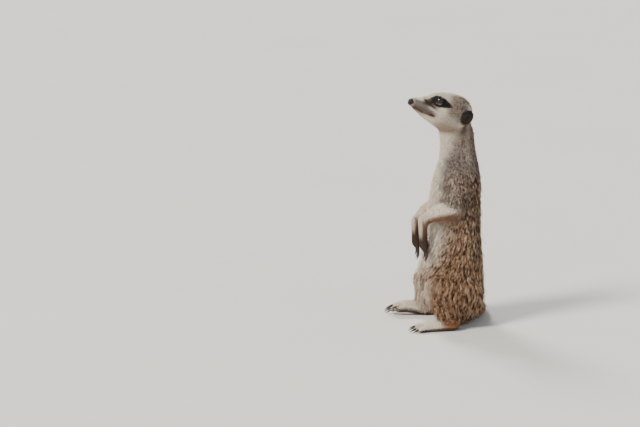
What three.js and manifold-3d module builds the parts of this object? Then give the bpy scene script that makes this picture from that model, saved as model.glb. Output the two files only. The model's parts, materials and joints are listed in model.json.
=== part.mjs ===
// A life-size meerkat (Suricata suricatta) sitting upright, as a still museum model.
// Millimetres, +Z up. The animal faces -Y and its left side is +X.
// The origin is on the floor, under the trunk.
// Every solid is the outer envelope of that part, out to the tips of its coat.

import * as THREE from "three";
import { ParametricGeometry } from "three/addons/geometries/ParametricGeometry.js";
import { mergeVertices } from "three/addons/utils/BufferGeometryUtils.js";
import Module from "manifold-3d";

const wasm = await Module();
wasm.setup();

// ---- Driving dimensions ----

const GAP = 0.3; // clearance between neighbouring solids
const WELD = 1e-4; // how close two vertices are before they are one

const NOSE_TIP = new THREE.Vector3(-5, -53, 268); // the head's own origin
const HEAD_PITCH = 20; // degrees that the muzzle points above level
const HEAD_YAW = 7; // degrees that the head is turned to the animal's right
const NECK_CUT = 188; // height of the neck's joint with the chest
const WAIST_CUT = 112; // height of the chest's joint with the abdomen

const EYE_RADIUS = 4.9;
const EYE = { back: 33.8, up: 13.4, out: 11.9 }; // centre of an eyeball, in the head's frame
const EAR = { back: 68.5, up: 6.8, out: 20.6, length: 19.6, width: 16.4, thickness: 7.4 };

// The head from the nose tip backwards: top and bottom are heights over the muzzle's axis.
const HEAD_STATIONS = [
  { at: 0.0, top: 1.2, bottom: -1.8, half: 0.0 },
  { at: 0.8, top: 2.9, bottom: -3.9, half: 3.3 },
  { at: 3.0, top: 5.0, bottom: -5.7, half: 5.2 },
  { at: 8.0, top: 7.7, bottom: -7.9, half: 6.9 },
  { at: 15.0, top: 11.5, bottom: -11.4, half: 8.8 },
  { at: 21.0, top: 16.4, bottom: -13.8, half: 11.6 },
  { at: 27.0, top: 20.2, bottom: -15.6, half: 15.4 },
  { at: 33.0, top: 22.5, bottom: -17.2, half: 18.9 },
  { at: 42.0, top: 24.8, bottom: -19.6, half: 22.6 },
  { at: 52.0, top: 26.4, bottom: -20.0, half: 24.0 },
  { at: 62.0, top: 25.2, bottom: -17.0, half: 22.6 },
  { at: 70.0, top: 20.8, bottom: -12.0, half: 18.6 },
  { at: 75.5, top: 13.6, bottom: -6.0, half: 11.8 },
  { at: 78.0, top: 4.5, bottom: 3.5, half: 0.0 },
];

// The torso from the seat up to inside the head: front and back are places along Y.
const TORSO_STATIONS = [
  { at: -6, front: 2, back: 8, half: 0 },
  { at: -3.5, front: -5, back: 16, half: 14 },
  { at: 3, front: -14, back: 24, half: 23 },
  { at: 14, front: -24, back: 33.5, half: 31 },
  { at: 28, front: -32, back: 38.6, half: 35.5 },
  { at: 48, front: -40, back: 39.4, half: 37.5 },
  { at: 66, front: -42.6, back: 38, half: 36 },
  { at: 84, front: -36, back: 36.6, half: 34.5 },
  { at: 106, front: -31.4, back: 35, half: 32 },
  { at: 128, front: -30, back: 34.4, half: 30 },
  { at: 150, front: -29, back: 34.3, half: 28.8 },
  { at: 168, front: -26.8, back: 34.2, half: 27.5 },
  { at: 184, front: -23.2, back: 33, half: 25 },
  { at: 198, front: -17.4, back: 29.2, half: 20.6 },
  { at: 214, front: -16.3, back: 26, half: 18.8 },
  { at: 232, front: -17.8, back: 24.8, half: 18.6 },
  { at: 245, front: -12, back: 18, half: 13 },
  { at: 250, front: 0, back: 8, half: 0 },
];

// Limbs: joints of the left side as [out, along, up, radius]. The right side's own joints follow.
const LIMBS = {
  left: {
    arm: [[18, 4, 180, 12.5], [22, 2, 163, 12.6], [25.5, -2, 147, 11.5]],
    forearm: [[26, -4, 143, 11.2], [24.5, -20, 139, 10.2], [20.5, -31.6, 134, 7.8], [17, -37.2, 128.5, 6.6]],
    hand: [[17, -38.6, 129.5, 6], [16, -38.6, 118, 4.9], [15.5, -37.6, 104, 5], [15.5, -37, 97, 5.2]],
    thigh: [[22, 10, 36, 27], [28.5, -8, 43, 23], [33, -26, 49, 16.5]],
    shank: [[33, -27, 47, 15.5], [34.5, -20, 29, 12.5], [35, -9, 14.5, 12.5]],
    foot: [[36, -5, 6, 7.6], [36.4, -21, 6.2, 7.2], [36.8, -35, 5.4, 6.8], [37, -41.5, 4.6, 6.3]],
    footRoll: 4,
  },
  right: {
    arm: [[18, 4, 180, 12.5], [22, 1, 161, 12.6], [25.5, -4, 142, 11.5]],
    forearm: [[26, -5, 138, 11.2], [24.5, -21, 134, 10.2], [20.5, -33, 127, 7.8], [17, -38.8, 120.5, 6.6]],
    hand: [[17, -40, 121, 6], [16.2, -40.2, 110, 4.9], [16, -39.8, 99, 5], [16, -39.6, 93.5, 5.2]],
    thigh: [[22, 10, 36, 27], [28.5, -8, 41, 23], [33, -24, 44, 16.5]],
    shank: [[33, -24, 42, 15.5], [35, -25, 27, 12.5], [36.5, -23, 14, 12.5]],
    foot: [[38, -17, 6.2, 7.8], [39.5, -33, 8.6, 7.8], [41.5, -47, 10.6, 7.6], [42.3, -55, 9.2, 6.8]],
    footRoll: 38,
  },
};
// Each limb's width across over along, and how finely it is divided.
const LIMB_FORM = {
  arm: { width: 0.86, sides: 10, steps: 3, cap: 2 },
  forearm: { width: 0.92, sides: 10, steps: 5, cap: 2 },
  hand: { width: 1.12, sides: 10, steps: 3, cap: 2 },
  thigh: { width: 0.72, sides: 14, steps: 3, cap: 3 },
  shank: { width: 0.84, sides: 10, steps: 3, cap: 2 },
  foot: { width: 1.15, sides: 10, steps: 4, cap: 2 },
  digit: { width: 1, sides: 6, steps: 2, cap: 1 },
  claw: { width: 0.8, sides: 5, steps: 2, cap: 1 },
  tail: { width: 1, sides: 8, steps: 18, cap: 2 },
};

const HAND_DIGIT = { length: 10.5, radius: 2.3, spread: 3.2, arch: 0.5, claw: 10, clawRadius: 1.25 };
const FOOT_DIGIT = { length: 12, radius: 3.0, spread: 4.1, arch: 1.1, claw: 7, clawRadius: 1.35 };
// Share of the full length of a digit, from the inner one to the outer one.
const DIGIT_REACH = [0.84, 1.0, 0.97, 0.78];

// The tail leaves the rump, lies down on the floor and sweeps round to the animal's right.
const TAIL_PATH = [
  [2, 25, 15, 12], [-12, 35, 11.6, 10.2], [-32, 42, 8.4, 8.6], [-58, 45, 7, 7.4], [-88, 40.5, 6, 6.6],
  [-116, 31, 5.2, 5.9], [-144, 23, 4.6, 5.2], [-170, 22.5, 4.2, 4.6], [-188, 27, 3.6, 3.6],
];
const TAIL_CUTS = [0.4, 0.76]; // shares of the tail's length where its three lengths part

const COLOURS = {
  grey: 0xa89680,
  tan: 0xb28f66,
  cream: 0xe3d6c2,
  pale: 0xcabda9,
  dark: 0x3a3029,
  black: 0x16120f,
};

// ---- From three.js geometry to solids ----

// A closed geometry as a manifold solid, with its seam and poles welded.
function solid(geometry) {
  const bare = geometry.clone();
  bare.deleteAttribute("normal");
  bare.deleteAttribute("uv");
  const welded = mergeVertices(bare, WELD);
  const index = welded.index.array;
  const triangles = [];
  for (let i = 0; i < index.length; i += 3) {
    const [a, b, c] = [index[i], index[i + 1], index[i + 2]];
    if (a !== b && b !== c && c !== a) triangles.push(a, b, c);
  }
  const mesh = new wasm.Mesh({
    numProp: 3,
    vertProperties: new Float32Array(welded.attributes.position.array),
    triVerts: new Uint32Array(triangles),
  });
  const made = new wasm.Manifold(mesh);
  if (made.volume() > 0) return made;
  for (let i = 0; i < triangles.length; i += 3) {
    [triangles[i + 1], triangles[i + 2]] = [triangles[i + 2], triangles[i + 1]];
  }
  return new wasm.Manifold(new wasm.Mesh({ ...mesh, triVerts: new Uint32Array(triangles) }));
}

// A solid back as a BufferGeometry with flat normals.
function geometryOf(body) {
  const mesh = body.getMesh();
  const geometry = new THREE.BufferGeometry();
  const corners = new Float32Array(mesh.triVerts.length * 3);
  mesh.triVerts.forEach((vertex, i) => {
    for (let k = 0; k < 3; k++) corners[3 * i + k] = mesh.vertProperties[mesh.numProp * vertex + k];
  });
  geometry.setAttribute("position", new THREE.BufferAttribute(corners, 3));
  geometry.computeVertexNormals();
  return geometry;
}

// ---- Shapes ----

// Smooth value of one key of a station list at a place, by Catmull-Rom between its stations.
function stationValue(stations, key, at) {
  const last = stations.length - 1;
  let i = 0;
  while (i < last - 1 && stations[i + 1].at < at) i++;
  const [p1, p2] = [stations[i], stations[i + 1]];
  const [p0, p3] = [stations[Math.max(i - 1, 0)], stations[Math.min(i + 2, last)]];
  const span = p2.at - p1.at;
  const t = THREE.MathUtils.clamp((at - p1.at) / span, 0, 1);
  const slopeIn = p2.at > p0.at ? ((p2[key] - p0[key]) / (p2.at - p0.at)) * span : 0;
  const slopeOut = p3.at > p1.at ? ((p3[key] - p1[key]) / (p3.at - p1.at)) * span : 0;
  const [t2, t3] = [t * t, t * t * t];
  return (2 * t3 - 3 * t2 + 1) * p1[key] + (t3 - 2 * t2 + t) * slopeIn
    + (3 * t2 - 2 * t3) * p2[key] + (t3 - t2) * slopeOut;
}

// Places along a station list: each stretch between stations gets the same number of steps.
function placesAlong(stations, steps) {
  const places = [];
  for (let i = 0; i < stations.length - 1; i++) {
    for (let k = 0; k < steps; k++) {
      places.push(THREE.MathUtils.lerp(stations[i].at, stations[i + 1].at, k / steps));
    }
  }
  places.push(stations[stations.length - 1].at);
  return places;
}

// A closed body through rings: ring(i, angle, target) writes a point of ring i.
// The first and last rings are points.
function ringsGeometry(rings, sides, ring) {
  const surface = (u, v, target) => ring(Math.round(v * rings), (u % 1) * 2 * Math.PI, target);
  return new ParametricGeometry(surface, sides, rings);
}

// A tapered limb through joints [x, y, z, radius], rounded at both ends. width scales it across the limb.
function limbGeometry(joints, { width, sides, steps, cap }, across = new THREE.Vector3(1, 0, 0)) {
  const curve = new THREE.CatmullRomCurve3(joints.map(([x, y, z]) => new THREE.Vector3(x, y, z)));
  const length = curve.getLength();
  const lengths = curve.getLengths(joints.length * 20);
  const radii = joints.map(([, , , radius], i) => {
    const share = i / (joints.length - 1);
    return { at: lengths[Math.round(share * (lengths.length - 1))] / length, radius };
  });
  const rows = [];
  const first = radii[0].radius;
  const final = radii[radii.length - 1].radius;
  for (let k = 0; k < cap; k++) {
    const turn = ((k / cap) * Math.PI) / 2;
    rows.push({ share: 0, past: -first * Math.cos(turn), swell: Math.sin(turn) });
  }
  for (let k = 0; k <= steps; k++) rows.push({ share: k / steps, past: 0, swell: 1 });
  for (let k = cap - 1; k >= 0; k--) {
    const turn = ((k / cap) * Math.PI) / 2;
    rows.push({ share: 1, past: final * Math.cos(turn), swell: Math.sin(turn) });
  }
  return ringsGeometry(rows.length - 1, sides, (i, angle, target) => {
    const { share, past, swell } = rows[i];
    const tangent = curve.getTangentAt(share);
    const normal = new THREE.Vector3().crossVectors(across, tangent).normalize();
    const side = new THREE.Vector3().crossVectors(tangent, normal).normalize();
    const radius = stationValue(radii, "radius", share) * swell;
    target.copy(curve.getPointAt(share)).addScaledVector(tangent, past);
    target.addScaledVector(side, radius * width * Math.cos(angle));
    target.addScaledVector(normal, radius * Math.sin(angle));
  });
}

// Joints of one limb, on its side of the body, grown outwards by a clearance.
function jointsOf(side, limb, grow = 0) {
  const sign = side === "left" ? 1 : -1;
  return LIMBS[side][limb].map(([x, y, z, radius]) => [sign * x, y, z, radius + grow]);
}

function limb(side, name, grow = 0) {
  const across = name === "foot" ? footAcross(side) : new THREE.Vector3(1, 0, 0);
  return solid(limbGeometry(jointsOf(side, name, grow), LIMB_FORM[name], across));
}

// A foot's own sideways direction: it rolls on to its outer edge by footRoll degrees.
function footAcross(side) {
  const roll = THREE.MathUtils.degToRad(mirrorOf(side) * LIMBS[side].footRoll);
  return new THREE.Vector3(1, 0, 0).applyAxisAngle(new THREE.Vector3(0, 1, 0), roll);
}

function ellipsoid(radii, matrix, [around, down]) {
  return solid(new THREE.SphereGeometry(1, around, down).scale(...radii).applyMatrix4(matrix));
}

// The torso's rings lie level. Its chest is narrower in front than behind, and its back is rounded.
function torsoSolid() {
  const KEEL = 0.16; // how much the front narrows towards the midline
  const places = placesAlong(TORSO_STATIONS, 1);
  const at = (key, z) => stationValue(TORSO_STATIONS, key, z);
  return solid(ringsGeometry(places.length - 1, 20, (i, angle, target) => {
    const z = places[i];
    const middle = (at("front", z) + at("back", z)) / 2;
    const depth = (at("back", z) - at("front", z)) / 2;
    const half = Math.max(at("half", z), 0);
    const ends = i === 0 || i === places.length - 1 ? 0 : 1;
    const along = Math.sin(angle);
    target.set(ends * half * Math.cos(angle) * (1 + KEEL * along), middle + ends * depth * along, z);
  }));
}

// The head's own frame: x is out to the left, y runs from the nose tip backwards, z is up.
const HEAD_FRAME = new THREE.Matrix4().makeTranslation(NOSE_TIP)
  .multiply(new THREE.Matrix4().makeRotationZ(THREE.MathUtils.degToRad(-HEAD_YAW)))
  .multiply(new THREE.Matrix4().makeRotationX(THREE.MathUtils.degToRad(-HEAD_PITCH)));

// The head's rings stand across the muzzle's axis. They are widest at the cheek, below the eyes.
function headSolid(grow = 0) {
  const CHEEK_DROP = 0.14; // how far below the middle the widest line runs
  const BROW = { back: 31, up: 16.5, reach: 5.5, rise: 1.1 }; // the ridge over each eye
  const places = placesAlong(HEAD_STATIONS, 2);
  const at = (key, s) => stationValue(HEAD_STATIONS, key, s);
  return solid(ringsGeometry(places.length - 1, 16, (i, angle, target) => {
    const s = places[i];
    const ends = i === 0 || i === places.length - 1 ? 0 : 1;
    const middle = (at("top", s) + at("bottom", s)) / 2;
    const height = (at("top", s) - at("bottom", s)) / 2;
    const half = Math.max(at("half", s), 0);
    const lift = Math.sin(angle);
    const taper = 1 - CHEEK_DROP * lift;
    const near = Math.hypot(s - BROW.back, middle + height * lift - BROW.up) / BROW.reach;
    const ridge = BROW.rise * Math.exp(-near * near) * Math.abs(Math.cos(angle));
    const out = (half + grow + ridge) * Math.cos(angle) * taper;
    const endGrow = i === 0 ? -grow : i === places.length - 1 ? grow : 0;
    target.set(ends * out, s + endGrow, middle + ends * (height + grow) * lift);
    target.applyMatrix4(HEAD_FRAME);
  }));
}

const mirrorOf = (side) => (side === "left" ? 1 : -1);

function eyeSolid(side, grow = 0) {
  const place = new THREE.Matrix4().makeTranslation(mirrorOf(side) * EYE.out, EYE.back, EYE.up);
  const radius = EYE_RADIUS + grow;
  return ellipsoid([radius, radius, radius], HEAD_FRAME.clone().multiply(place), [10, 7]);
}

// The nose pad is the front of the muzzle, parted from the head by a plane.
const NOSE_PAD = { depth: 3.4, lean: 16 };

function nosePadBox(gap) {
  const SIZE = 40;
  const lean = new THREE.Matrix4().makeRotationX(THREE.MathUtils.degToRad(NOSE_PAD.lean));
  const place = new THREE.Matrix4().makeTranslation(0, NOSE_PAD.depth - gap - SIZE / 2, 0);
  const box = new THREE.BoxGeometry(SIZE, SIZE, SIZE).applyMatrix4(lean.multiply(place));
  const above = new THREE.Matrix4().makeTranslation(0, 0, SIZE / 2 - 3.1 + gap);
  const cut = new THREE.BoxGeometry(SIZE * 2, SIZE * 2, SIZE).applyMatrix4(above);
  return solid(box.applyMatrix4(HEAD_FRAME)).intersect(solid(cut.applyMatrix4(HEAD_FRAME)));
}

// A small round ear, low on the side of the head, with its hollow turned outwards and forwards.
function earSolid(side, grow = 0) {
  const sign = mirrorOf(side);
  const place = new THREE.Matrix4().makeTranslation(sign * EAR.out, EAR.back, EAR.up);
  const lean = new THREE.Matrix4().makeRotationY(THREE.MathUtils.degToRad(sign * 12));
  const turn = new THREE.Matrix4().makeRotationZ(THREE.MathUtils.degToRad(sign * 24));
  const frame = HEAD_FRAME.clone().multiply(place).multiply(turn).multiply(lean);
  const shell = [EAR.thickness / 2 + grow, EAR.width / 2 + grow, EAR.length / 2 + grow];
  const ear = ellipsoid(shell, frame, [10, 7]);
  if (grow) return ear;
  const HOLLOW = 0.68; // its size against the ear's outline
  const outward = new THREE.Matrix4().makeTranslation(sign * EAR.thickness * 0.52, -0.6, 0);
  const hollow = frame.clone().multiply(outward);
  const radii = [EAR.thickness * 0.36, (EAR.width / 2) * HOLLOW, (EAR.length / 2) * HOLLOW];
  return ear.subtract(ellipsoid(radii, hollow, [8, 5]));
}

// ---- Hands and feet ----

// The four digits and claws of a hand or foot, each with its root, direction and end, in the part's frame.
function digitsOf(side, kind) {
  const sizes = kind === "hand" ? HAND_DIGIT : FOOT_DIGIT;
  const joints = jointsOf(side, kind).map(([x, y, z]) => new THREE.Vector3(x, y, z));
  const end = joints[joints.length - 1];
  const forward = end.clone().sub(joints[joints.length - 2]).normalize();
  if (kind === "hand") forward.applyAxisAngle(new THREE.Vector3(1, 0, 0), THREE.MathUtils.degToRad(6));
  const across = kind === "foot" ? footAcross(side) : new THREE.Vector3(1, 0, 0);
  const out = across.multiplyScalar(mirrorOf(side));
  const droop = kind === "foot" ? new THREE.Vector3(0, 0, -1) : new THREE.Vector3(0, -1, 0);
  return DIGIT_REACH.map((reach, i) => {
    const offset = (i - 1.5) * sizes.spread;
    const way = forward.clone().addScaledVector(out, (i - 1.5) * 0.13).normalize();
    const root = end.clone().addScaledVector(out, offset).addScaledVector(way, -2);
    const tip = root.clone().addScaledVector(way, sizes.length * reach);
    return { root, tip, way, out, droop, sizes };
  });
}

function digitSolid({ root, tip, droop, sizes }, grow = 0) {
  const knuckle = root.clone().lerp(tip, 0.5).addScaledVector(droop, -sizes.arch);
  const radii = [1, 1.04, 0.86].map((share) => sizes.radius * share + grow);
  const joints = [root, knuckle, tip].map((p, i) => [p.x, p.y, p.z, radii[i]]);
  return solid(limbGeometry(joints, LIMB_FORM.digit));
}

// A claw leaves the digit's tip, curves down and tapers to a blunt point.
function clawSolid({ tip, way, droop, sizes }, grow = 0) {
  const CURVE = 0.3; // how far it droops, against its length
  const start = tip.clone().addScaledVector(way, sizes.radius * 0.2);
  start.addScaledVector(droop, -sizes.radius * 0.25);
  const joints = [0, 0.5, 1].map((share, i) => {
    const p = start.clone().addScaledVector(way, sizes.claw * share);
    p.addScaledVector(droop, sizes.claw * CURVE * share * share);
    return [p.x, p.y, p.z, sizes.clawRadius * [1, 0.78, 0.3][i] + grow];
  });
  return solid(limbGeometry(joints, LIMB_FORM.claw));
}

function pawSolid(side, kind) {
  let paw = limb(side, kind);
  for (const digit of digitsOf(side, kind)) paw = paw.add(digitSolid(digit));
  return paw;
}

// ---- Tail ----

function tailSolid(grow = 0) {
  const joints = TAIL_PATH.map(([x, y, z, radius]) => [x, y, z, radius + grow]);
  return solid(limbGeometry(joints, LIMB_FORM.tail, new THREE.Vector3(0, 0, 1)));
}

// A thick slab across the tail, from one share of its length to another.
function tailStretch(from, to) {
  const curve = new THREE.CatmullRomCurve3(TAIL_PATH.map(([x, y, z]) => new THREE.Vector3(x, y, z)));
  const SIZE = 400;
  const half = (share, sign) => {
    const tangent = curve.getTangentAt(share).multiplyScalar(sign);
    const centre = curve.getPointAt(share).addScaledVector(tangent, SIZE / 2 + GAP / 2);
    const turn = new THREE.Quaternion().setFromUnitVectors(new THREE.Vector3(0, 0, 1), tangent);
    const frame = new THREE.Matrix4().compose(centre, turn, new THREE.Vector3(1, 1, 1));
    return solid(new THREE.BoxGeometry(SIZE, SIZE, SIZE).applyMatrix4(frame));
  };
  let stretch = null;
  if (from > 0) stretch = half(from, 1);
  if (to < 1) stretch = stretch ? stretch.intersect(half(to, -1)) : half(to, -1);
  return stretch;
}

// ---- Assembly ----

function levelBox(low, high) {
  const SIZE = 700;
  const box = new THREE.BoxGeometry(SIZE, SIZE, high - low).translate(0, 0, (high + low) / 2);
  return solid(box);
}

const model = new THREE.Group();
const aboveFloor = levelBox(0, 400);

function addPart(name, body, colour, roughness = 0.9) {
  const whole = body.intersect(aboveFloor).decompose();
  whole.sort((a, b) => b.volume() - a.volume());
  const material = new THREE.MeshStandardMaterial({ color: colour, roughness, metalness: 0 });
  const mesh = new THREE.Mesh(geometryOf(whole[0]), material);
  mesh.name = name;
  model.add(mesh);
}

const less = (body, ...others) => others.reduce((left, other) => left.subtract(other), body);
const SIDES = ["left", "right"];

// Head, nose, eyes and ears.
const head = less(headSolid(), ...SIDES.map((side) => eyeSolid(side, GAP)), nosePadBox(0));
addPart("head", head, COLOURS.pale);
addPart("nose", headSolid().intersect(nosePadBox(GAP)), COLOURS.black, 0.45);
for (const side of SIDES) {
  addPart(`eye_${side}`, eyeSolid(side), COLOURS.black, 0.1);
  addPart(`ear_${side}`, earSolid(side).subtract(headSolid(GAP)), COLOURS.black);
}

// Neck, chest and abdomen are one torso, parted level.
const torso = less(torsoSolid(), headSolid(GAP));
const ears = SIDES.map((side) => earSolid(side, GAP));
const arms = SIDES.flatMap((side) => [limb(side, "arm", GAP), limb(side, "forearm", GAP)]);
const legs = SIDES.flatMap((side) => [limb(side, "thigh", GAP), limb(side, "shank", GAP)]);
const hands = SIDES.map((side) => limb(side, "hand", GAP));
const fingers = SIDES.flatMap((side) => digitsOf(side, "hand"))
  .flatMap((digit) => [digitSolid(digit, GAP), clawSolid(digit, GAP)]);
addPart("neck", less(torso.intersect(levelBox(NECK_CUT + GAP, 400)), ...arms, ...ears), COLOURS.grey);
addPart("chest", less(torso.intersect(levelBox(WAIST_CUT + GAP, NECK_CUT)), ...arms, ...hands), COLOURS.grey);
const lower = torso.intersect(levelBox(-50, WAIST_CUT));
addPart("abdomen", less(lower, ...legs, ...hands, ...fingers, tailSolid(GAP)), COLOURS.tan);

for (const side of SIDES) {
  addPart(`upper_arm_${side}`, less(limb(side, "arm"), limb(side, "forearm", GAP)), COLOURS.grey);
  addPart(`forearm_${side}`, less(limb(side, "forearm"), limb(side, "hand", GAP)), COLOURS.cream);
  addPart(`thigh_${side}`, less(limb(side, "thigh"), limb(side, "shank", GAP)), COLOURS.tan);
  addPart(`shank_${side}`, less(limb(side, "shank"), limb(side, "foot", GAP)), COLOURS.tan);
  for (const [kind, colour] of [["hand", COLOURS.dark], ["foot", COLOURS.cream]]) {
    const digits = digitsOf(side, kind);
    const sockets = digits.map((digit) => clawSolid(digit, GAP));
    addPart(`${kind}_${side}`, less(pawSolid(side, kind), ...sockets), colour);
    digits.forEach((digit, i) => {
      addPart(`${kind}_${side}_claw_${i + 1}`, clawSolid(digit), COLOURS.black, 0.4);
    });
  }
}

// The tail, in three lengths.
const tailNames = ["tail_base", "tail_middle", "tail_tip"];
const tailShares = [0, ...TAIL_CUTS, 1];
tailNames.forEach((name, i) => {
  let stretch = tailSolid().intersect(tailStretch(tailShares[i], tailShares[i + 1]));
  stretch = less(stretch, ...legs);
  addPart(name, stretch, i === 2 ? COLOURS.dark : COLOURS.tan);
});

export default model;
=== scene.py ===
"""A life-size meerkat sitting upright: one skin over its solids, and its coat, eyes, nose and claws."""

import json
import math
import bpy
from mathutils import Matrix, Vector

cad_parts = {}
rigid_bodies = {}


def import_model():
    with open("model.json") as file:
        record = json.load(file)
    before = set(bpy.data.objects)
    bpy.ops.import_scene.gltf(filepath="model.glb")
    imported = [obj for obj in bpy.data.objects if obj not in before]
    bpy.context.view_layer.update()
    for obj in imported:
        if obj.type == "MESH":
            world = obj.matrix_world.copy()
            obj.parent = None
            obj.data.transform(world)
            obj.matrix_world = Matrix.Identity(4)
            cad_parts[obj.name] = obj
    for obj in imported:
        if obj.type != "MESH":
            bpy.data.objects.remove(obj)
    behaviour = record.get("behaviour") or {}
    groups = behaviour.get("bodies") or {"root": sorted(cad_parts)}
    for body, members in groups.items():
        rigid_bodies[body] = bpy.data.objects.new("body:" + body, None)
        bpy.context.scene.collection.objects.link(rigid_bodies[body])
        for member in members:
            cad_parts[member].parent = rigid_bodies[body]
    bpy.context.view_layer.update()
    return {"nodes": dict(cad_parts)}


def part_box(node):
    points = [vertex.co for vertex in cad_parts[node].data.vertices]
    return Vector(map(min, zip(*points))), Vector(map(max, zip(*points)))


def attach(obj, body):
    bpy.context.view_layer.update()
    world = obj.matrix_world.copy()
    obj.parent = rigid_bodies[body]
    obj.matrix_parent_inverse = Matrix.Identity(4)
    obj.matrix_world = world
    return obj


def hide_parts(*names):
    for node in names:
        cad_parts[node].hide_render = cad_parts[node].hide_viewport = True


bl_info = {
    "name": "Upright Meerkat",
    "version": (1, 0, 0),
    "blender": (4, 5, 0),
    "location": "View3D > Sidebar > Meerkat",
    "description": "Builds a meerkat's skin, coat, eyes, nose, claws and whiskers",
    "category": "Object",
}

import bmesh
import bpy
import numpy as np
from bpy.props import FloatProperty, FloatVectorProperty, IntProperty, PointerProperty
from mathutils import Matrix, Vector
from mathutils.bvhtree import BVHTree

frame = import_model()

MM = 0.001  # every size below is in millimetres, and a mesh is in metres
SIDES = {"left": 1, "right": -1}  # the side's sign along X

# The head's own frame: x out to the left, y from the nose tip backwards, z up.
NOSE_TIP = np.array([-5.0, -53.0, 268.0])
HEAD_PITCH = math.radians(20)  # the muzzle points this far above level
HEAD_YAW = math.radians(7)  # the head is turned this far to the animal's right
HEAD_TURN = np.array(Matrix.Rotation(-HEAD_YAW, 3, "Z") @ Matrix.Rotation(-HEAD_PITCH, 3, "X"))

EYE_CENTRE = np.array([11.9, 33.8, 13.4])  # the left eye, in the head's frame
EYE_RADIUS = 4.9
EYE_REACH = 8.0  # what the lids leave open is looked for this near to the eye's centre
EYE_GAZE = np.array([0.84, -0.46, 0.24])  # the way the left eye looks, in the head's frame
EAR_CENTRE = np.array([20.6, 68.5, 6.8])  # the left ear, in the head's frame

FLESH = ["head", "ear_left", "ear_right", "neck", "chest", "abdomen"]
FLESH += [f"{part}_{side}" for side in SIDES for part in ("upper_arm", "forearm", "hand")]
FLESH += [f"{part}_{side}" for side in SIDES for part in ("thigh", "shank", "foot")]
FLESH += ["tail_base", "tail_middle", "tail_tip"]

# What each part of the body gives its skin and coat, in this order: how strongly its facets are eased,
# how deep the skin lies, how long the hair is, the gap between tufts, a strand's width, and the share
# of its length by which the hair lifts.
REGIONS = {
    "head": (0.45, 1.0, 3.4, 1.06, 0.30, 0.16),
    "ear": (0.12, 0.4, 1.4, 0.95, 0.28, 0.22),
    "neck": (1.0, 1.3, 5.2, 1.32, 0.38, 0.16),
    "chest": (1.0, 2.5, 8.5, 1.5, 0.44, 0.18),
    "abdomen": (1.0, 2.9, 10.5, 1.66, 0.48, 0.19),
    "upper_arm": (0.9, 1.3, 7.0, 1.5, 0.42, 0.17),
    "forearm": (0.7, 0.7, 4.2, 1.25, 0.36, 0.15),
    "hand": (0.22, 0.2, 2.0, 1.15, 0.30, 0.12),
    "thigh": (1.0, 2.2, 10.5, 1.66, 0.48, 0.19),
    "shank": (0.9, 1.3, 7.0, 1.5, 0.42, 0.17),
    "foot": (0.25, 0.3, 2.4, 1.2, 0.32, 0.12),
    "tail_base": (0.7, 1.2, 6.0, 1.4, 0.42, 0.16),
    "tail_middle": (0.6, 1.0, 5.2, 1.3, 0.40, 0.16),
    "tail_tip": (0.5, 0.9, 5.2, 1.3, 0.40, 0.18),
}
REGION_NAMES = list(REGIONS)
REGION_TABLE = np.array(list(REGIONS.values()))

# The trunk's profile from the side: the front and the back of the skin at a height.
TRUNK_FRONT = ((0, -14), (14, -24), (48, -39), (66, -42), (84, -36), (106, -31), (168, -27), (198, -17))
TRUNK_FRONT += ((232, -18),)
TRUNK_BACK = ((0, 21), (14, 33), (28, 38), (66, 38), (106, 35), (168, 34), (198, 29), (232, 25))


def region_of(node):
    """The row of REGIONS that a node of flesh belongs to."""
    return REGION_NAMES.index(node.replace("_left", "").replace("_right", ""))


def profile(pairs, heights):
    """A place along Y for each height, from a profile's few pairs."""
    up, along = np.array(pairs, float).T
    return np.interp(heights, up, along)


def ease(low, high, values):
    """0 below low and 1 above high, with a smooth step between. low may be the larger one."""
    t = np.clip((np.asarray(values) - low) / (high - low), 0, 1)
    return t * t * (3 - 2 * t)


def bell(values, width):
    """1 at 0, falling to nearly 0 at about twice the width."""
    return np.exp(-((np.asarray(values) / width) ** 2))


def spot(one, two, width):
    """1 in the middle of a round spot, where both distances are 0, falling as bell does."""
    return bell(np.hypot(one, two), width)


def unit(vectors):
    """The vectors at length 1, row by row."""
    length = np.linalg.norm(vectors, axis=-1, keepdims=True)
    return vectors / np.maximum(length, 1e-9)


def distance_from(places, centre):
    """How far each place lies from a centre, or from its own row of centres."""
    return np.linalg.norm(places - centre, axis=1)


def to_head(points):
    """Points of the animal's frame, in millimetres, in the head's own frame."""
    return (points - NOSE_TIP) @ HEAD_TURN


def from_head(vectors):
    """Directions of the head's frame in the animal's frame."""
    return vectors @ HEAD_TURN.T


def left_half(points):
    """Points of the animal's frame in the head's own frame, with its right half mirrored onto its left."""
    places = to_head(points)
    places[:, 0] = np.abs(places[:, 0])
    return places


# ---- Meshes ----

WELD = 0.002  # corners of a node that are closer than this are one corner


def mesh_object(name, points, faces):
    """A smooth object from points in millimetres. faces is an array of rows, or a list of such arrays."""
    groups = faces if isinstance(faces, list) else [faces]
    sizes = np.concatenate([np.full(len(group), group.shape[1]) for group in groups])
    corners = np.concatenate([group.ravel() for group in groups]).astype(np.int32)
    mesh = bpy.data.meshes.new(name)
    mesh.vertices.add(len(points))
    mesh.vertices.foreach_set("co", (points * MM).astype(np.float32).ravel())
    mesh.loops.add(len(corners))
    mesh.loops.foreach_set("vertex_index", corners)
    mesh.polygons.add(len(sizes))
    starts = np.concatenate([[0], np.cumsum(sizes)[:-1]]).astype(np.int32)
    mesh.polygons.foreach_set("loop_start", starts)
    mesh.update(calc_edges=True)
    mesh.validate()
    smooth(mesh)
    piece = bpy.data.objects.new(name, mesh)
    bpy.context.scene.collection.objects.link(piece)
    return piece


def read_rows(items, field, width, kind=np.float32):
    """One field of a mesh's items, as an array with a row for each."""
    values = np.empty(len(items) * width, kind)
    items.foreach_get(field, values)
    return values.reshape(-1, width)


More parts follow.
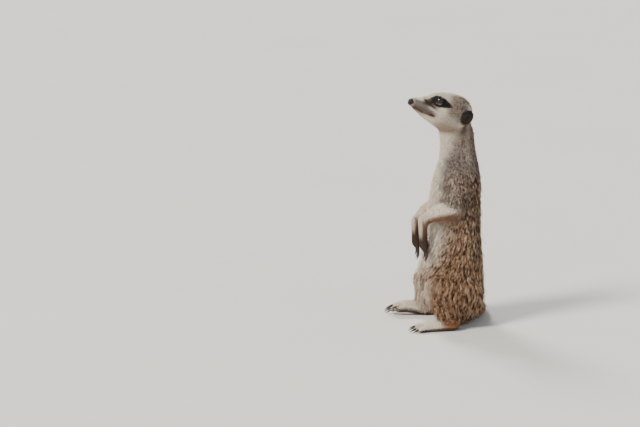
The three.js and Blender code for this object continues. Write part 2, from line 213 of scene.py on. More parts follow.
def points_of(mesh):
    """A mesh's vertices in millimetres."""
    return read_rows(mesh.vertices, "co", 3).astype(float) / MM


def normals_of(mesh):
    """A mesh's vertex normals."""
    return read_rows(mesh.vertex_normals, "vector", 3).astype(float)


def place_points(mesh, points):
    """Moves a mesh's vertices to these points, in millimetres."""
    mesh.vertices.foreach_set("co", (points * MM).astype(np.float32).ravel())
    mesh.update()


# An attribute's type and the name of its values, by their width.
ATTRIBUTES = {1: ("FLOAT", "value"), 3: ("FLOAT_VECTOR", "vector"), 4: ("FLOAT_COLOR", "color")}


def set_attribute(mesh, name, values):
    """A float, vector or colour attribute on the vertices, by the values' own width."""
    flat = values.reshape(len(values), -1).astype(np.float32)
    kind, field = ATTRIBUTES[flat.shape[1]]
    attribute = mesh.attributes.new(name, kind, "POINT")
    attribute.data.foreach_set(field, flat.ravel())


def get_attribute(mesh, name, width):
    """An attribute's values, one row for each vertex."""
    field = ATTRIBUTES[width][1]
    return read_rows(mesh.attributes[name].data, field, width).astype(float)


def smooth(mesh):
    """Shades all of a mesh's faces smoothly."""
    mesh.polygons.foreach_set("use_smooth", np.ones(len(mesh.polygons), bool))


def applied(piece):
    """The piece with its modifiers applied to its mesh, and none left on it."""
    seen = piece.evaluated_get(bpy.context.evaluated_depsgraph_get())
    mesh = bpy.data.meshes.new_from_object(seen)
    piece.modifiers.clear()
    piece.data = mesh
    return piece


def remeshed(piece, voxel):
    """The piece as one closed surface of even faces, about a voxel wide each, in millimetres."""
    remesh = piece.modifiers.new("one surface", "REMESH")
    remesh.mode = "VOXEL"
    remesh.voxel_size = voxel * MM
    return applied(piece)


def neighbour_mean(mesh):
    """A function that gives, for values on a mesh's vertices, the mean of each vertex's neighbours."""
    one, two = read_rows(mesh.edges, "vertices", 2, np.int32).T
    count = len(mesh.vertices)
    degree = np.bincount(one, minlength=count) + np.bincount(two, minlength=count)
    degree = np.maximum(degree, 1)

    def mean(values):
        """The mean of each vertex's neighbours, for rows of values."""
        columns = []
        for column in values.T:
            total = np.bincount(one, weights=column[two], minlength=count)
            total += np.bincount(two, weights=column[one], minlength=count)
            columns.append(total / degree)
        return np.stack(columns, axis=1)

    return mean


def eased(values, mean, strength, rounds):
    """Values drawn towards the mean of their neighbours, round by round."""
    share = np.broadcast_to(strength, (len(values),))[:, None]
    for _ in range(rounds):
        values = values + share * (mean(values) - values)
    return values


def faces_of(shell):
    """A bmesh's triangles as rows of vertices. The bmesh is freed."""
    faces = np.array([[v.index for v in face.verts] for face in shell.faces])
    shell.free()
    return faces


def welded_node(name, grow=0.0):
    """A node's vertices in millimetres and its triangles, welded, and grown along its normals."""
    shell = bmesh.new()
    shell.from_mesh(frame["nodes"][name].data)
    bmesh.ops.remove_doubles(shell, verts=shell.verts, dist=WELD * MM)
    bmesh.ops.triangulate(shell, faces=shell.faces)
    shell.normal_update()
    shell.verts.index_update()
    points = np.array([v.co + v.normal * grow * MM for v in shell.verts]) / MM
    return points, faces_of(shell)


def sphere_points(centre, radius, around=24, down=16):
    """A sphere's vertices and its triangles, in the same order each time."""
    ball = bmesh.new()
    bmesh.ops.create_uvsphere(ball, u_segments=around, v_segments=down, radius=radius)
    bmesh.ops.triangulate(ball, faces=ball.faces)
    points = np.array([v.co for v in ball.verts]) + centre
    faces = faces_of(ball)
    first = faces.argmin(axis=1)[:, None]
    faces = np.take_along_axis(faces, (first + [0, 1, 2]) % 3, axis=1)
    return points, faces[np.lexsort(faces.T)]


def joined(shells):
    """Several (points, faces) as one."""
    points, faces, start = [], [], 0
    for shell_points, shell_faces in shells:
        points.append(shell_points)
        faces.append(shell_faces + start)
        start += len(shell_points)
    return np.concatenate(points), np.concatenate(faces)


def head_place(side, place):
    """A place of the left half of the head, on either side, in the animal's frame."""
    return NOSE_TIP + from_head(place * np.array([SIDES[side], 1, 1]))


# ---- Materials ----


class Value:
    """A shader socket that adds Math nodes when it is used in an expression."""

    def __init__(self, sheet, socket):
        self.sheet = sheet
        self.socket = socket

    def _math(self, operation, *values, clamp=False):
        settings = {"operation": operation, "use_clamp": clamp}
        return self.sheet.node("ShaderNodeMath", settings, dict(enumerate(values)))

    def __add__(self, other):
        return self._math("ADD", self, other)

    def __sub__(self, other):
        return self._math("SUBTRACT", self, other)

    def __rsub__(self, other):
        return self._math("SUBTRACT", other, self)

    def __mul__(self, other):
        return self._math("MULTIPLY", self, other)

    __radd__ = __add__
    __rmul__ = __mul__

    def clamped(self):
        """The value held between 0 and 1."""
        return self._math("ADD", self, 0.0, clamp=True)

    def step(self, low, high):
        """0 below low and 1 above high, with a smooth step between."""
        settings = {"interpolation_type": "SMOOTHSTEP"}
        return self.sheet.node("ShaderNodeMapRange", settings, {"Value": self, 1: low, 2: high})


class Sheet:
    """One material being built: its tree, and the few kinds of node that the finishes use."""

    def __init__(self, name):
        self.material = bpy.data.materials.new(name)
        self.material.use_nodes = True
        self.tree = self.material.node_tree
        self.tree.nodes.clear()

    def node(self, kind, settings=None, values=None, out=0):
        """A node with its settings made first, then its sockets' values or links."""
        made = self.tree.nodes.new(kind)
        for key, setting in (settings or {}).items():
            setattr(made, key, setting)
        for key, value in (values or {}).items():
            socket = made.inputs[key]
            if isinstance(value, Value):
                self.tree.links.new(value.socket, socket)
            else:
                socket.default_value = value
        return Value(self, made.outputs[out])

    def object_place(self, scale):
        """Object coordinates in metres, stretched by a scale for each axis."""
        place = self.node("ShaderNodeTexCoord", out="Object")
        return self.node("ShaderNodeVectorMath", {"operation": "MULTIPLY"}, {0: place, 1: scale})

    def channels(self, name):
        """An attribute's red, green, blue and alpha."""
        settings = {"attribute_name": name}
        colour = self.node("ShaderNodeAttribute", settings, out="Color")
        alpha = Value(self, colour.socket.node.outputs["Alpha"])
        parts = self.node("ShaderNodeSeparateColor", None, {"Color": colour}).socket.node
        return [Value(self, parts.outputs[i]) for i in range(3)] + [alpha]

    def number(self, name):
        """A float attribute."""
        return self.node("ShaderNodeAttribute", {"attribute_name": name}, out="Fac")

    def noise(self, place, scale, detail=2.0, roughness=0.5):
        """Smooth noise between 0 and 1."""
        values = {"Vector": place, "Scale": scale, "Detail": detail, "Roughness": roughness}
        return self.node("ShaderNodeTexNoise", None, values)

    def mixed(self, share, one, two):
        """Two colours mixed by a share. Each is a link, or three shares of light."""
        one, two = (colour if isinstance(colour, Value) else (*colour, 1.0) for colour in (one, two))
        return self.node("ShaderNodeMix", {"data_type": "RGBA"}, {0: share, 6: one, 7: two}, out=2)

    def bump(self, height, strength, depth):
        """A bumped normal from a height between 0 and 1, which stands for a depth in millimetres."""
        values = {"Height": height, "Strength": strength, "Distance": depth * MM}
        return self.node("ShaderNodeBump", None, values)

    def finish(self, **sockets):
        """The material, ended by a Principled shader with these sockets."""
        values = {key.replace("_", " "): value for key, value in sockets.items()}
        shader = self.node("ShaderNodeBsdfPrincipled", None, values)
        end = self.tree.nodes.new("ShaderNodeOutputMaterial")
        self.tree.links.new(shader.socket, end.inputs["Surface"])
        return self.material


# Colours that only shade a finish. The panel doesn't show them.
# painted shade: the dark that the hair casts on the skin between it
HAIR_SHADE_ON_SKIN = (0.03, 0.02, 0.015)
IRIS_RAYS = (0.004, 0.002, 0.001)
IRIS_EDGE = (0.006, 0.004, 0.004)
EYE_WHITE = (0.012, 0.009, 0.008)
PUPIL = (0.001, 0.001, 0.001)
WORN_HIDE = (0.03, 0.025, 0.026)
# painted shade in the sunken nostrils, slits and furrow of the nose
NOSTRIL_SHADE = (0.002, 0.002, 0.002)
CLAW_TIP = (0.11, 0.075, 0.055)
CLAW_STRIPE = (0.01, 0.008, 0.007)
WHISKER_SHEEN = (0.06, 0.045, 0.035)


def painted(sheet, colours):
    """The coat's flat colours, laid over one another by the masks that skin and coat both carry."""
    cream, grey, tan, rust = sheet.channels("paint")
    colour = sheet.mixed(tan, colours.brown, colours.tan)
    colour = sheet.mixed(grey, colour, colours.grey)
    colour = sheet.mixed(cream, colour, colours.cream)
    return sheet.mixed(rust, colour, colours.rust)


def marked(sheet, colour, colours):
    """The dark hands, the black eye patch and ears, and bare skin, over the coat's colours; the dark mark
    also carries painted shade below the ears, in the neck's wrinkles and between the digits.
    """
    dark, black, _, bare = sheet.channels("marks")
    colour = sheet.mixed(bare, colour, colours.skin)
    colour = sheet.mixed(dark, colour, colours.dark)
    return sheet.mixed(black, colour, colours.black)


def skin_material(colours):
    """Skin seen between the hairs: the coat's markings, streaked along the lie of the hair, and darkened
    in streaks by painted shade of the hair over it.
    """
    sheet = Sheet("skin")
    streaks = sheet.noise(sheet.object_place((1.0, 1.0, 0.4)), 2400, 3.0, 0.6)
    ticks = sheet.noise(sheet.object_place((1.0, 1.0, 0.42)), 420, 2.0, 0.5)
    bars = sheet.channels("marks")[2]
    colour = painted(sheet, colours)
    colour = sheet.mixed(ticks.step(0.5, 0.62) * bars * 0.85, colour, colours.bar)
    colour = marked(sheet, colour, colours)
    # painted shade of the hair, laid over the skin's colour in streaks
    colour = sheet.mixed((0.86 - streaks).clamped() * 0.8, colour, HAIR_SHADE_ON_SKIN)
    rough = 0.62 + streaks * 0.25
    normal = sheet.bump(streaks, 0.7, 0.35)
    return sheet.finish(Base_Color=colour, Roughness=rough, Normal=normal, Specular_IOR_Level=0.2)


def coat_material(colours):
    """Hair: pale and dark locks with fine lines along them, dark or pale tips where it is barred, and
    painted shade that darkens each strand towards its root.
    """
    sheet = Sheet("coat")
    tone, along, pick, across = sheet.channels("tuft")
    bars = sheet.channels("marks")[2]
    lock = sheet.node("ShaderNodeCombineXYZ", None, {0: across * 4.5, 1: along * 0.9, 2: tone * 61.0})
    hairs = sheet.noise(lock, 1.6, 2.0, 0.6)
    colour = painted(sheet, colours)
    tip = (along + (hairs - 0.5) * 0.35).step(0.40, 0.62)
    dark_tip = (pick.step(0.52, 0.58) * tip * bars.step(0.05, 0.7)).clamped()
    pale_tip = ((1.0 - pick.step(0.36, 0.44)) * along.step(0.35, 0.6) * bars * 0.85).clamped()
    colour = sheet.mixed(pale_tip, colour, colours.pale)
    colour = sheet.mixed(dark_tip, colour, colours.bar)
    colour = marked(sheet, colour, colours)
    # painted shade: each strand darker towards its root, on top of its random tone and fine lines
    light = 0.42 + tone * 0.34 + hairs * 0.5 + along.step(0.0, 0.55) * 0.26
    scaled = sheet.node("ShaderNodeCombineXYZ", None, {0: light, 1: light, 2: light})
    colour = sheet.node("ShaderNodeVectorMath", {"operation": "MULTIPLY"}, {0: colour, 1: scaled})
    rough = 0.5 + hairs * 0.2
    normal = sheet.bump(hairs, 0.5, 0.08)
    return sheet.finish(Base_Color=colour, Roughness=rough, Normal=normal, Specular_IOR_Level=0.25)


# ---- Skin ----

SEAM = 0.35  # nodes are grown by this much, so that they meet in one skin


def skin_blank(voxel):
    """The nodes of flesh and a mound over each eye as one closed surface."""
    shells = [welded_node(name, SEAM) for name in FLESH]
    mounds = [sphere_points(head_place(side, EYE_CENTRE), EYE_RADIUS + 0.8) for side in SIDES]
    return remeshed(mesh_object("skin", *joined(shells + mounds)), voxel), shells


def nearest_nodes(points, shells):
    """For each point, the index of the closest node of flesh and the closest point on the nodes."""
    corners, faces = joined(shells)
    owner = np.concatenate([np.full(len(shell[1]), i) for i, shell in enumerate(shells)])
    tree = BVHTree.FromPolygons(corners.tolist(), faces.tolist())
    hits = [tree.find_nearest(point) for point in points.tolist()]
    return owner[[hit[2] for hit in hits]], np.array([hit[0] for hit in hits])


def refine(mesh, wanted):
    """Divides once the faces between wanted vertices."""
    fine = bmesh.new()
    fine.from_mesh(mesh)
    chosen = [edge for edge in fine.edges if all(wanted[v.index] for v in edge.verts)]
    bmesh.ops.subdivide_edges(fine, edges=chosen, cuts=1, use_grid_fill=True)
    fine.to_mesh(mesh)
    fine.free()
    mesh.update()


def eye_axes():
    """The left eye's gaze, its axis towards the back corner of the lids, and its axis upwards."""
    gaze = unit(EYE_GAZE)
    back = unit(np.array([0.0, 1.0, 0.16]) - gaze * np.dot(gaze, [0.0, 1.0, 0.16]))
    return gaze, back, np.cross(back, gaze) * -1.0


LID_LENGTH = 4.5  # from the eye's middle to a corner of its lids
LID_HEIGHT = 2.35  # from the eye's middle to a lid


def lid_distance(places):
    """How far a place of the head's left half lies outside the lids' opening, along the eyeball."""
    gaze, back, up = eye_axes()
    way = unit(places - EYE_CENTRE)
    along = EYE_RADIUS * np.arctan2(way @ back, way @ gaze)
    over = EYE_RADIUS * np.arcsin(np.clip(way @ up, -1, 1))
    open_half = LID_HEIGHT * np.sqrt(np.clip(1 - np.abs(along / LID_LENGTH) ** 1.7, 0, 1))
    beside = np.hypot(np.maximum(np.abs(along) - LID_LENGTH, 0), over)
    gap = np.where(np.abs(along) < LID_LENGTH, np.abs(over) - open_half, beside)
    return np.where(way @ gaze > 0, gap, 20.0)


def shaped_lids(places):
    """Places of the head's left half round its eye, drawn to the lids' edges."""
    offset = places - EYE_CENTRE
    reach = distance_from(places, EYE_CENTRE)
    gap = lid_distance(places)
    edge = EYE_RADIUS + 0.10 - 1.7 * ease(0, -0.8, gap)
    edge += 0.62 * ease(0.0, 0.7, gap) - 0.30 * bell(gap - 2.0, 0.45)
    share = (1 - ease(1.4, 4.6, gap)) * (reach < EYE_RADIUS * 2.2)
    wanted = reach + (edge - reach) * share
    return EYE_CENTRE + offset * (wanted / np.maximum(reach, 1e-6))[:, None]


MOUTH = ((4, -5.2), (12, -6.1), (20, -6.4), (28, -5.9), (31.5, -5.2), (34, -5.8))
MOUTH_CORNER = 31.5  # how far behind the nose tip the lips end


def mouth_height(back):
    """The height of the line between the lips, at a distance behind the nose tip."""
    return profile(MOUTH, back)


def nose_rim(back, up):
    """1 under the nose pad and 0 behind its rounded rear edge."""
    return ease(0.7, -0.5, back - 6.2 + 0.22 * (up - 0.6) ** 2)


def shaped_head(places, normals):
    """Places of the head, in its own frame, with its mouth, lids, brow, cheeks and temples formed."""
    side = np.where(places[:, :1] < 0, -1.0, 1.0)
    mirror = np.concatenate([side, np.ones_like(side), np.ones_like(side)], axis=1)
    places, normals = places * mirror, normals * mirror
    out, back, up = places.T
    below = up - mouth_height(back)
    length = ease(2.5, 5.0, back) * (1 - ease(MOUTH_CORNER - 1, MOUTH_CORNER + 1.5, back))
    push = -1.0 * bell(below, 0.55) * length
    push += 0.42 * bell(below - 1.9, 1.3) * length * (1 - 0.5 * ease(14, 30, back))
    push += 0.22 * bell(below + 1.5, 0.9) * length
    push -= 0.55 * spot(back - MOUTH_CORNER - 1.2, below, 1.8)
    push -= 0.7 * spot((back - 21) / 1.6, up - 8.5, 3.2)  # the hollow before the eye
    push += 0.7 * spot((back - 33) / 1.8, up - 19.6, 2.2) * ease(4, 9, out)  # the brow
    push += 0.8 * spot(back - 43, up + 3, 9.0)  # the cheek
    push -= 0.6 * spot(back - 49, up - 13, 7.0)  # the temple
    push -= 0.35 * bell(out, 1.2) * ease(6, 12, back) * (1 - ease(20, 28, back)) * (up > 0)
    places = places + normals * push[:, None]
    places[:, 1] -= 1.9 * ease(9, 3.5, places[:, 1])
    return shaped_lids(places) * mirror


def shaped_ear(places):
    """Places of the left ear with its bowl sunk, its rim raised and its front lower edge drawn in."""
    outward = unit(np.array([0.88, -0.38, -0.18]))
    offset = places - EAR_CENTRE
    height = offset @ outward
    flat = np.linalg.norm(offset - height[:, None] * outward, axis=1)
    front = ease(-1.0, 2.0, height)
    bowl = -3.2 * (1 - ease(1.5, 6.2, flat)) + 1.2 * bell(flat - 7.3, 1.3)
    bowl -= 1.3 * spot(offset[:, 1] + 5.5, offset[:, 2] + 4.5, 2.6)
    ridge = 1.5 * spot(offset[:, 1] - 1.2, (offset[:, 2] + 0.5) / 2.4, 1.25)
    drawn = places + outward * ((bowl + ridge) * front)[:, None]
    lower_front = ease(-2, -9, offset[:, 1] + 0.8 * offset[:, 2])
    drawn[:, 1:] -= (offset[:, 1:] * 0.16) * lower_front[:, None]
    return drawn


def digit_furrows(points, owner):
    """How deep the furrows between the digits are: midway between the claws, and back from them."""
    depth = np.zeros(len(points))
    for node in [name for name in FLESH if name.startswith(("hand", "foot"))]:
        claws = [welded_node(f"{node}_claw_{number}")[0].mean(axis=0) for number in (1, 2, 3, 4)]
        middle = sum(np.array(corner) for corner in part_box(node)) / 2 / MM
        mine = np.flatnonzero(owner == FLESH.index(node))
        for one, two in zip(claws, claws[1:]):
            start, across = (one + two) / 2, unit(two - one)
            back = unit(middle - start)
            offset = points[mine] - start
            along = offset @ back
            beside = offset @ across - along * (back @ across)
            depth[mine] = np.maximum(depth[mine], bell(beside, 1.0) * ease(15, 9, along))
    return depth


# ---- The lie of the coat ----

# The way the hair of a part lies, as a direction: forwards is -Y, and down is -Z.
LIE = {
    "neck": (0, 0.06, -1),
    "chest": (0, -0.13, -1),
    "upper_arm": (0, -0.16, -1),
    "shank": (0, 0.12, -1),
    "hand": (0, 0, -1),
    "foot": (0, -1, -0.12),
}
TAIL_LIE = ((-179, 0.25), (-157, -0.02), (-130, -0.29), (-102, -0.34), (-73, -0.15), (-45, 0.12))
TAIL_LIE += ((-22, 0.35), (-5, 0.7))


def trunk_depth(points):
    """How far back on the trunk a point is: 0 at its front, and 1 at its back."""
    front, back = profile(TRUNK_FRONT, points[:, 2]), profile(TRUNK_BACK, points[:, 2])
    return (points[:, 1] - front) / (back - front)


def node_lie(node, points):
    """The way the hair lies at points of one node, before it is laid along the skin."""
    part = node.replace("_left", "").replace("_right", "")
    sign = -1 if node.endswith("_right") else 1
    lie = np.zeros_like(points)
    if part == "head":
        lie[:] = from_head(np.array([0, 1.0, -0.16]))
        return lie
    if part == "ear":
        offset = to_head(points) * [sign, 1, 1] - EAR_CENTRE
        return from_head((offset + [0, 1.5, -0.5]) * [sign, 1, 1])
    if part == "abdomen":
        lie[:, 1] = -0.16 - 0.42 * (1 - np.clip(trunk_depth(points), 0, 1)) * ease(150, 110, points[:, 2])
        lie[:, 2] = -1
        return lie
    if part == "thigh":
        lie[:, 1] = -0.2 + 0.5 * ease(34, 8, points[:, 2])
        lie[:, 2] = -1
        return lie
    if part == "forearm":
        lie[:] = (-0.24 * sign, -0.9, -0.35)
        lie[:, 2] -= 1.2 * ease(-26, -36, points[:, 1])
        return lie
    if part.startswith("tail"):
        bearing = np.array(TAIL_LIE)
        lie[:, 0] = -1
        lie[:, 1] = np.interp(points[:, 0], bearing[:, 0], bearing[:, 1])
        lie[:, 2] = -0.08
        return lie
    lie[:] = LIE[part]
    return lie


def along_skin(ways, normals):
    """Ways turned so that they run along the skin."""
    return unit(ways - normals * np.sum(ways * normals, axis=1, keepdims=True))


def coat_lie(points, normals, owner, mean):
    """The way the hair lies along the skin, turning smoothly from part to part."""
    lie = np.zeros_like(points)
    for index, node in enumerate(FLESH):
        mine = owner == index
        lie[mine] = node_lie(node, points[mine])
    lie = unit(lie)
    for _ in range(16):
        lie = along_skin(eased(lie, mean, 0.7, 2), normals)
    return lie


# ---- Markings ----


def almond(places, middle, half_length, half_height, tilt):
    """1 in the middle of a leaf shape on the side of the head, 0 at its edge, and less outside."""
    back, up = places[:, 1] - middle[0], places[:, 2] - middle[1]
    along = (back * math.cos(tilt) + up * math.sin(tilt)) / half_length
    over = (up * math.cos(tilt) - back * math.sin(tilt)) / half_height
    return 1 - np.abs(along) ** 1.5 - np.abs(over) ** 1.35


def eye_patch(places):
    """The black patch round the eye, with its ragged edge and the pale line of the lids."""
    out, back, up = places.T
    bent = places + np.stack([0 * out, 0 * out, 0.012 * (back - 32.2) ** 2], axis=1)
    patch = almond(bent, (32.2, 12.6), 16.5, 6.3, math.radians(9))
    patch += 0.10 * np.sin(back * 1.9 + 1) * np.sin(up * 1.3) - 0.5 * bell(back - 17, 4) * ease(9, 12, up)
    patch = ease(-0.02, 0.20, patch) * ease(4.5, 6.5, out) * (1 - 0.35 * ease(25, 18, back))
    gap = lid_distance(places)
    lid_line = bell(gap - 1.9, 0.38) * ease(12.2, 11.0, up) * ease(28, 31, back) * ease(41, 38, back)
    black = np.clip(patch * (1 - 0.75 * lid_line), 0, 1)
    return np.maximum(black, ease(0.6, 0.1, gap) * (distance_from(places, EYE_CENTRE) < EYE_REACH))


def head_paint(places):
    """The head's flat colours and its marks, from places of its left half."""
    out, back, up = places.T
    below = up - mouth_height(back)
    temple = ease(39, 50, back) * ease(-3, 9, up) * ease(2, 9, out)
    crown = ease(48, 62, back) * ease(10, 19, up)
    nape = ease(62, 74, back)
    ashen = ease(37, 27, back) * ease(4, 8, back) * ease(-6.5, -4.5, up)
    ashen = ashen * ease(5.6, 2.8, up - 0.11 * back)
    throat = ease(30, 44, back) * ease(-4, -12, up)
    cheek = spot((back - 48) / 1.6, up + 4, 8) * ease(5, 10, out)

    streak = bell((up - 5.6) + (back - 25) * 0.30, 1.3) * ease(13, 19, back) * ease(33, 28, back)
    snout = ease(28, 20, back) * ease(12, 8, up) * ease(2, 5, up) * ease(14, 18, back)
    lips = bell(below - 0.2, 2.3) * ease(2.5, 4.5, back)
    lips = lips * ease(MOUTH_CORNER + 3.5, MOUTH_CORNER - 0.5, back)
    line = bell(below, 0.9) * ease(12, 18, back) * ease(MOUTH_CORNER + 2.5, MOUTH_CORNER, back)
    corner = spot((back - MOUTH_CORNER + 2) / 1.9, below - 0.3, 1.8)
    rim = ease(6.5, 3.5, back) * ease(-7, -4.5, up)
    pale_streak = bell((up - 1.6) + (back - 30) * 0.12, 1.8) * ease(20, 27, back) * ease(46, 38, back)
    dark = 0.7 * streak + 0.5 * snout + 0.6 * rim + 0.4 * lips * ease(24, 12, back) + 0.8 * corner
    dark += ashen * (0.42 + 0.2 * ease(2, -3, up)) * (1 - 0.8 * pale_streak)
    dark += 0.55 * spot((back - 58.5) / 0.8, (up - 2) / 1.4, 4.0) * ease(8, 12, out)

    brown = np.clip(0.75 * temple + 0.55 * crown + 0.7 * nape + 0.35 * cheek, 0, 0.85)
    cream = (1 - brown) * (1 - 0.8 * ashen * (1 - 0.7 * pale_streak)) * (1 - 0.5 * throat)
    grey = np.clip(0.8 * ashen + 0.6 * temple + 0.4 * crown + 0.35 * nape + 0.3 * cheek, 0, 1)
    tan = np.clip(0.6 * throat + 0.35 * brown, 0, 1)
    rust = 0.45 * lips * ease(26, 14, back) + 0.3 * lips + 0.22 * throat
    bars = np.clip(0.75 * temple + 0.7 * crown + 0.7 * nape + 0.35 * cheek, 0, 0.8)
    black = eye_patch(places) + 0.9 * line + 1.2 * nose_rim(back, up)
    paint = np.stack([cream, grey, tan, rust], axis=1)
    marks = np.stack([dark, black, bars, 0 * bars], axis=1)
    return np.clip(paint, 0, 1), np.clip(marks, 0, 1)


def ear_paint(points, share, paint, marks):
    """The black ears, the pale tufts over them, and a dark band below each ear that is painted shadow of
    the ear and neck.
    """
    ear = ease(0.35, 0.6, share["ear"])
    places = left_half(points)
    offset = places - EAR_CENTRE
    beside = ease(7, 12, places[:, 0]) * (1 - ear)
    tuft = spot(offset[:, 1] + 1, offset[:, 2] - 11, 4.4) * ease(4, 8, places[:, 0]) * (1 - ear)
    # painted shadow of the ear and neck: a dark band running down from below the ear
    shade_below_ear = bell(offset[:, 1] - 0.5, 2.8) * ease(-5, -9, offset[:, 2])
    shade_below_ear = shade_below_ear * ease(-25, -14, offset[:, 2]) * beside
    hollow = ear * bell(distance_from(places, EAR_CENTRE), 4.6)
    paint[:, 0] = np.maximum(paint[:, 0], 0.9 * tuft)
    marks[:, 2] *= 1 - tuft
    marks[:, 1] = np.maximum(marks[:, 1] * (1 - tuft), ear - 0.5 * hollow)
    marks[:, 0] = np.maximum(marks[:, 0], np.maximum(0.85 * shade_below_ear, hollow))


# Where the pale front ends on the trunk: heights, and shares of the way from its front to its back.
FRONT_EDGE = ((10, -0.12), (45, -0.11), (66, -0.05), (85, 0.1), (112, 0.17), (140, 0.13), (162, 0.2))
FRONT_EDGE += ((178, 0.14), (197, 0.09), (232, 0.30))


def neck_fold_shading(points, depth, neck):
    """Painted light and shade of soft wrinkles round the side of the neck: shade towards 1 and light
    towards -1, in rows.
    """
    along, up = points[:, 1], points[:, 2]
    fold_shading = neck * ease(240, 226, up) * ease(0.15, 0.3, depth) * ease(0.85, 0.65, depth)
    return fold_shading * np.sin(up * 1.55 + 1.2 * np.sin(along * 0.35 + 1.5 * np.sin(up * 0.3)))


def trunk_bars(share, haunch, depth, behind, up):
    """How strongly the haunches and back are barred, and the shoulders and neck ticked."""
    bars = haunch * (0.6 * ease(0.04, 0.38, behind) + 0.4 * ease(0.45, 0.75, depth))
    rear = np.maximum(ease(0.45, 0.75, depth), ease(140, 160, up))
    upper = share["chest"] + share["abdomen"] + share["neck"]
    ticks = upper * ease(0.0, 0.13, behind) * (0.7 + 0.3 * rear)
    return np.maximum(bars, ticks * (0.46 + 0.34 * ease(215, 160, up)))


def body_paint(points, normals, share):
    """The body's flat colours and its marks, by place and by part."""
    across, along, up = points.T
    depth = trunk_depth(points)
    trunk = share["neck"] + share["chest"] + share["abdomen"] + share["head"]
    body = share["chest"] + share["abdomen"]
    haunch = share["thigh"] + body * ease(172, 112, up)
    tail = share["tail_base"] + share["tail_middle"] + share["tail_tip"]
    behind = depth - (profile(FRONT_EDGE, up) + 0.025 * np.sin(up * 0.5 + across * 0.45))
    fade = 0.11 + 0.23 * ease(150, 125, up) + 0.26 * ease(196, 216, up)

    # The pale front, arms, shins and feet.
    front = (trunk + 0.9 * share["thigh"] * ease(95, 60, up)) * ease(fade, -0.1, behind)
    arm = share["forearm"] * ease(-0.5, 0.15, normals[:, 2])
    arm += 0.35 * share["upper_arm"] * ease(0.1, -0.6, normals[:, 1])
    inner = ease(0.0, 0.5, -np.sign(across) * normals[:, 0])
    shin = share["shank"] * np.maximum(ease(-31, -41, along), 0.85 * inner)
    foot = share["foot"] * ease(-10, -24, along)
    wrist = share["hand"] * ease(-0.2, -0.55, normals[:, 1]) * ease(102, 114, up)
    nape = share["neck"] * bell(depth - 0.70, 0.08) * ease(190, 205, up)
    neck = ease(165, 195, up) * trunk
    # painted light and shade of the neck's wrinkles, laid into the cream, grey and dark masks below
    fold_shading = neck_fold_shading(points, depth, neck)
    cream = front + arm + 0.85 * shin + foot + 0.9 * wrist + 0.35 * nape - 0.3 * fold_shading

    # The grey neck and shoulders, the tan flanks and limbs, and the warm heels and undersides.
    grey = neck * (0.5 + 0.35 * ease(1.0, 0.7, depth)) + 0.35 * fold_shading
    grey += 0.5 * share["upper_arm"] + 0.25 * share["forearm"]
    warm = neck * ease(214, 230, up) * bell(depth - 0.5, 0.28)
    grey += 0.5 * body * ease(108, 168, up) * ease(0.75, 0.35, depth) + 0.18 * haunch * ease(70, 120, up)
    tan = haunch * (0.92 - 0.42 * ease(0.45, 0.85, depth) * ease(60, 110, up)) + 0.9 * share["shank"]
    tan += 0.5 * share["forearm"] + 0.3 * share["hand"] + 0.8 * share["foot"] + 0.75 * tail + 0.5 * warm
    under = share["forearm"] * ease(0.1, -0.9, normals[:, 2])
    heel = (share["foot"] + share["shank"]) * ease(24, 10, up) * ease(-26, -12, along)
    flank = body * bell((up - 142) / 16, 1.0) * bell((depth - 0.42) / 0.16, 1.0)
    rust = 0.5 * under + 0.55 * heel + 0.35 * flank + 0.16 * warm

    # The dark hands, soles and tail tip, and the bars.
    fingers = share["hand"] * ease(126, 106, up) * (1 - 0.6 * wrist)
    sole = share["foot"] * ease(-0.05, -0.6, normals[:, 2])
    dark = 0.95 * fingers + 0.9 * sole + 0.26 * fold_shading + share["tail_tip"] * ease(-140, -156, across)
    dark += 0.25 * share["forearm"] * ease(-26, -36, along) * ease(0.2, 0.6, normals[:, 1])
    black = share["tail_tip"] * ease(-152, -168, across)
    limbs = 0.8 * share["shank"] * ease(-37, -27, along) * (1 - inner) + 0.8 * share["upper_arm"]
    bars = np.maximum(trunk_bars(share, haunch, depth, behind, up), limbs + 0.35 * tail)
    paint = np.stack([cream, grey, tan, rust], axis=1)
    marks = np.stack([dark, black, bars * (1 - 0.8 * np.clip(heel, 0, 1)), 0.8 * sole], axis=1)
    return np.clip(paint, 0, 1), np.clip(marks, 0, 1)


def markings(points, normals, share):
    """The masks of the coat's colours (cream, grey, tan, rust) and marks (dark, black, bars, bare)."""
    paint, marks = body_paint(points, normals, share)
    places = left_half(points)
    face_paint, face_marks = head_paint(places)
    head = (ease(0.2, 0.8, share["head"]) * ease(80, 66, places[:, 1]))[:, None]
    paint += (face_paint - paint) * head
    marks += (face_marks - marks) * head
    ear_paint(points, share, paint, marks)
    return np.clip(paint, 0, 1), np.clip(marks, 0, 1)


# ---- The skin's making ----

FACE_LENGTH = 60  # the head's skin is finer up to this far behind the nose tip
FACE_LOWEST = 236  # the height above which the head's own shapes are formed
FURROW_DEPTH = 1.7  # between the digits
SKIN_LOWEST = 0.05  # the height under which no skin comes
CLAW_LOWEST = 0.1
HAIR_LOWEST = 0.25


def region_shares(owner, mean):
    """How much each vertex belongs to each region, fading from one part to the next."""
    rows = np.array([region_of(node) for node in FLESH])[owner]
    return eased(np.eye(len(REGION_NAMES))[rows], mean, 0.6, 18)


def named_shares(shares):
    """The shares of the regions by their names."""
    return dict(zip(REGION_NAMES, shares.T))


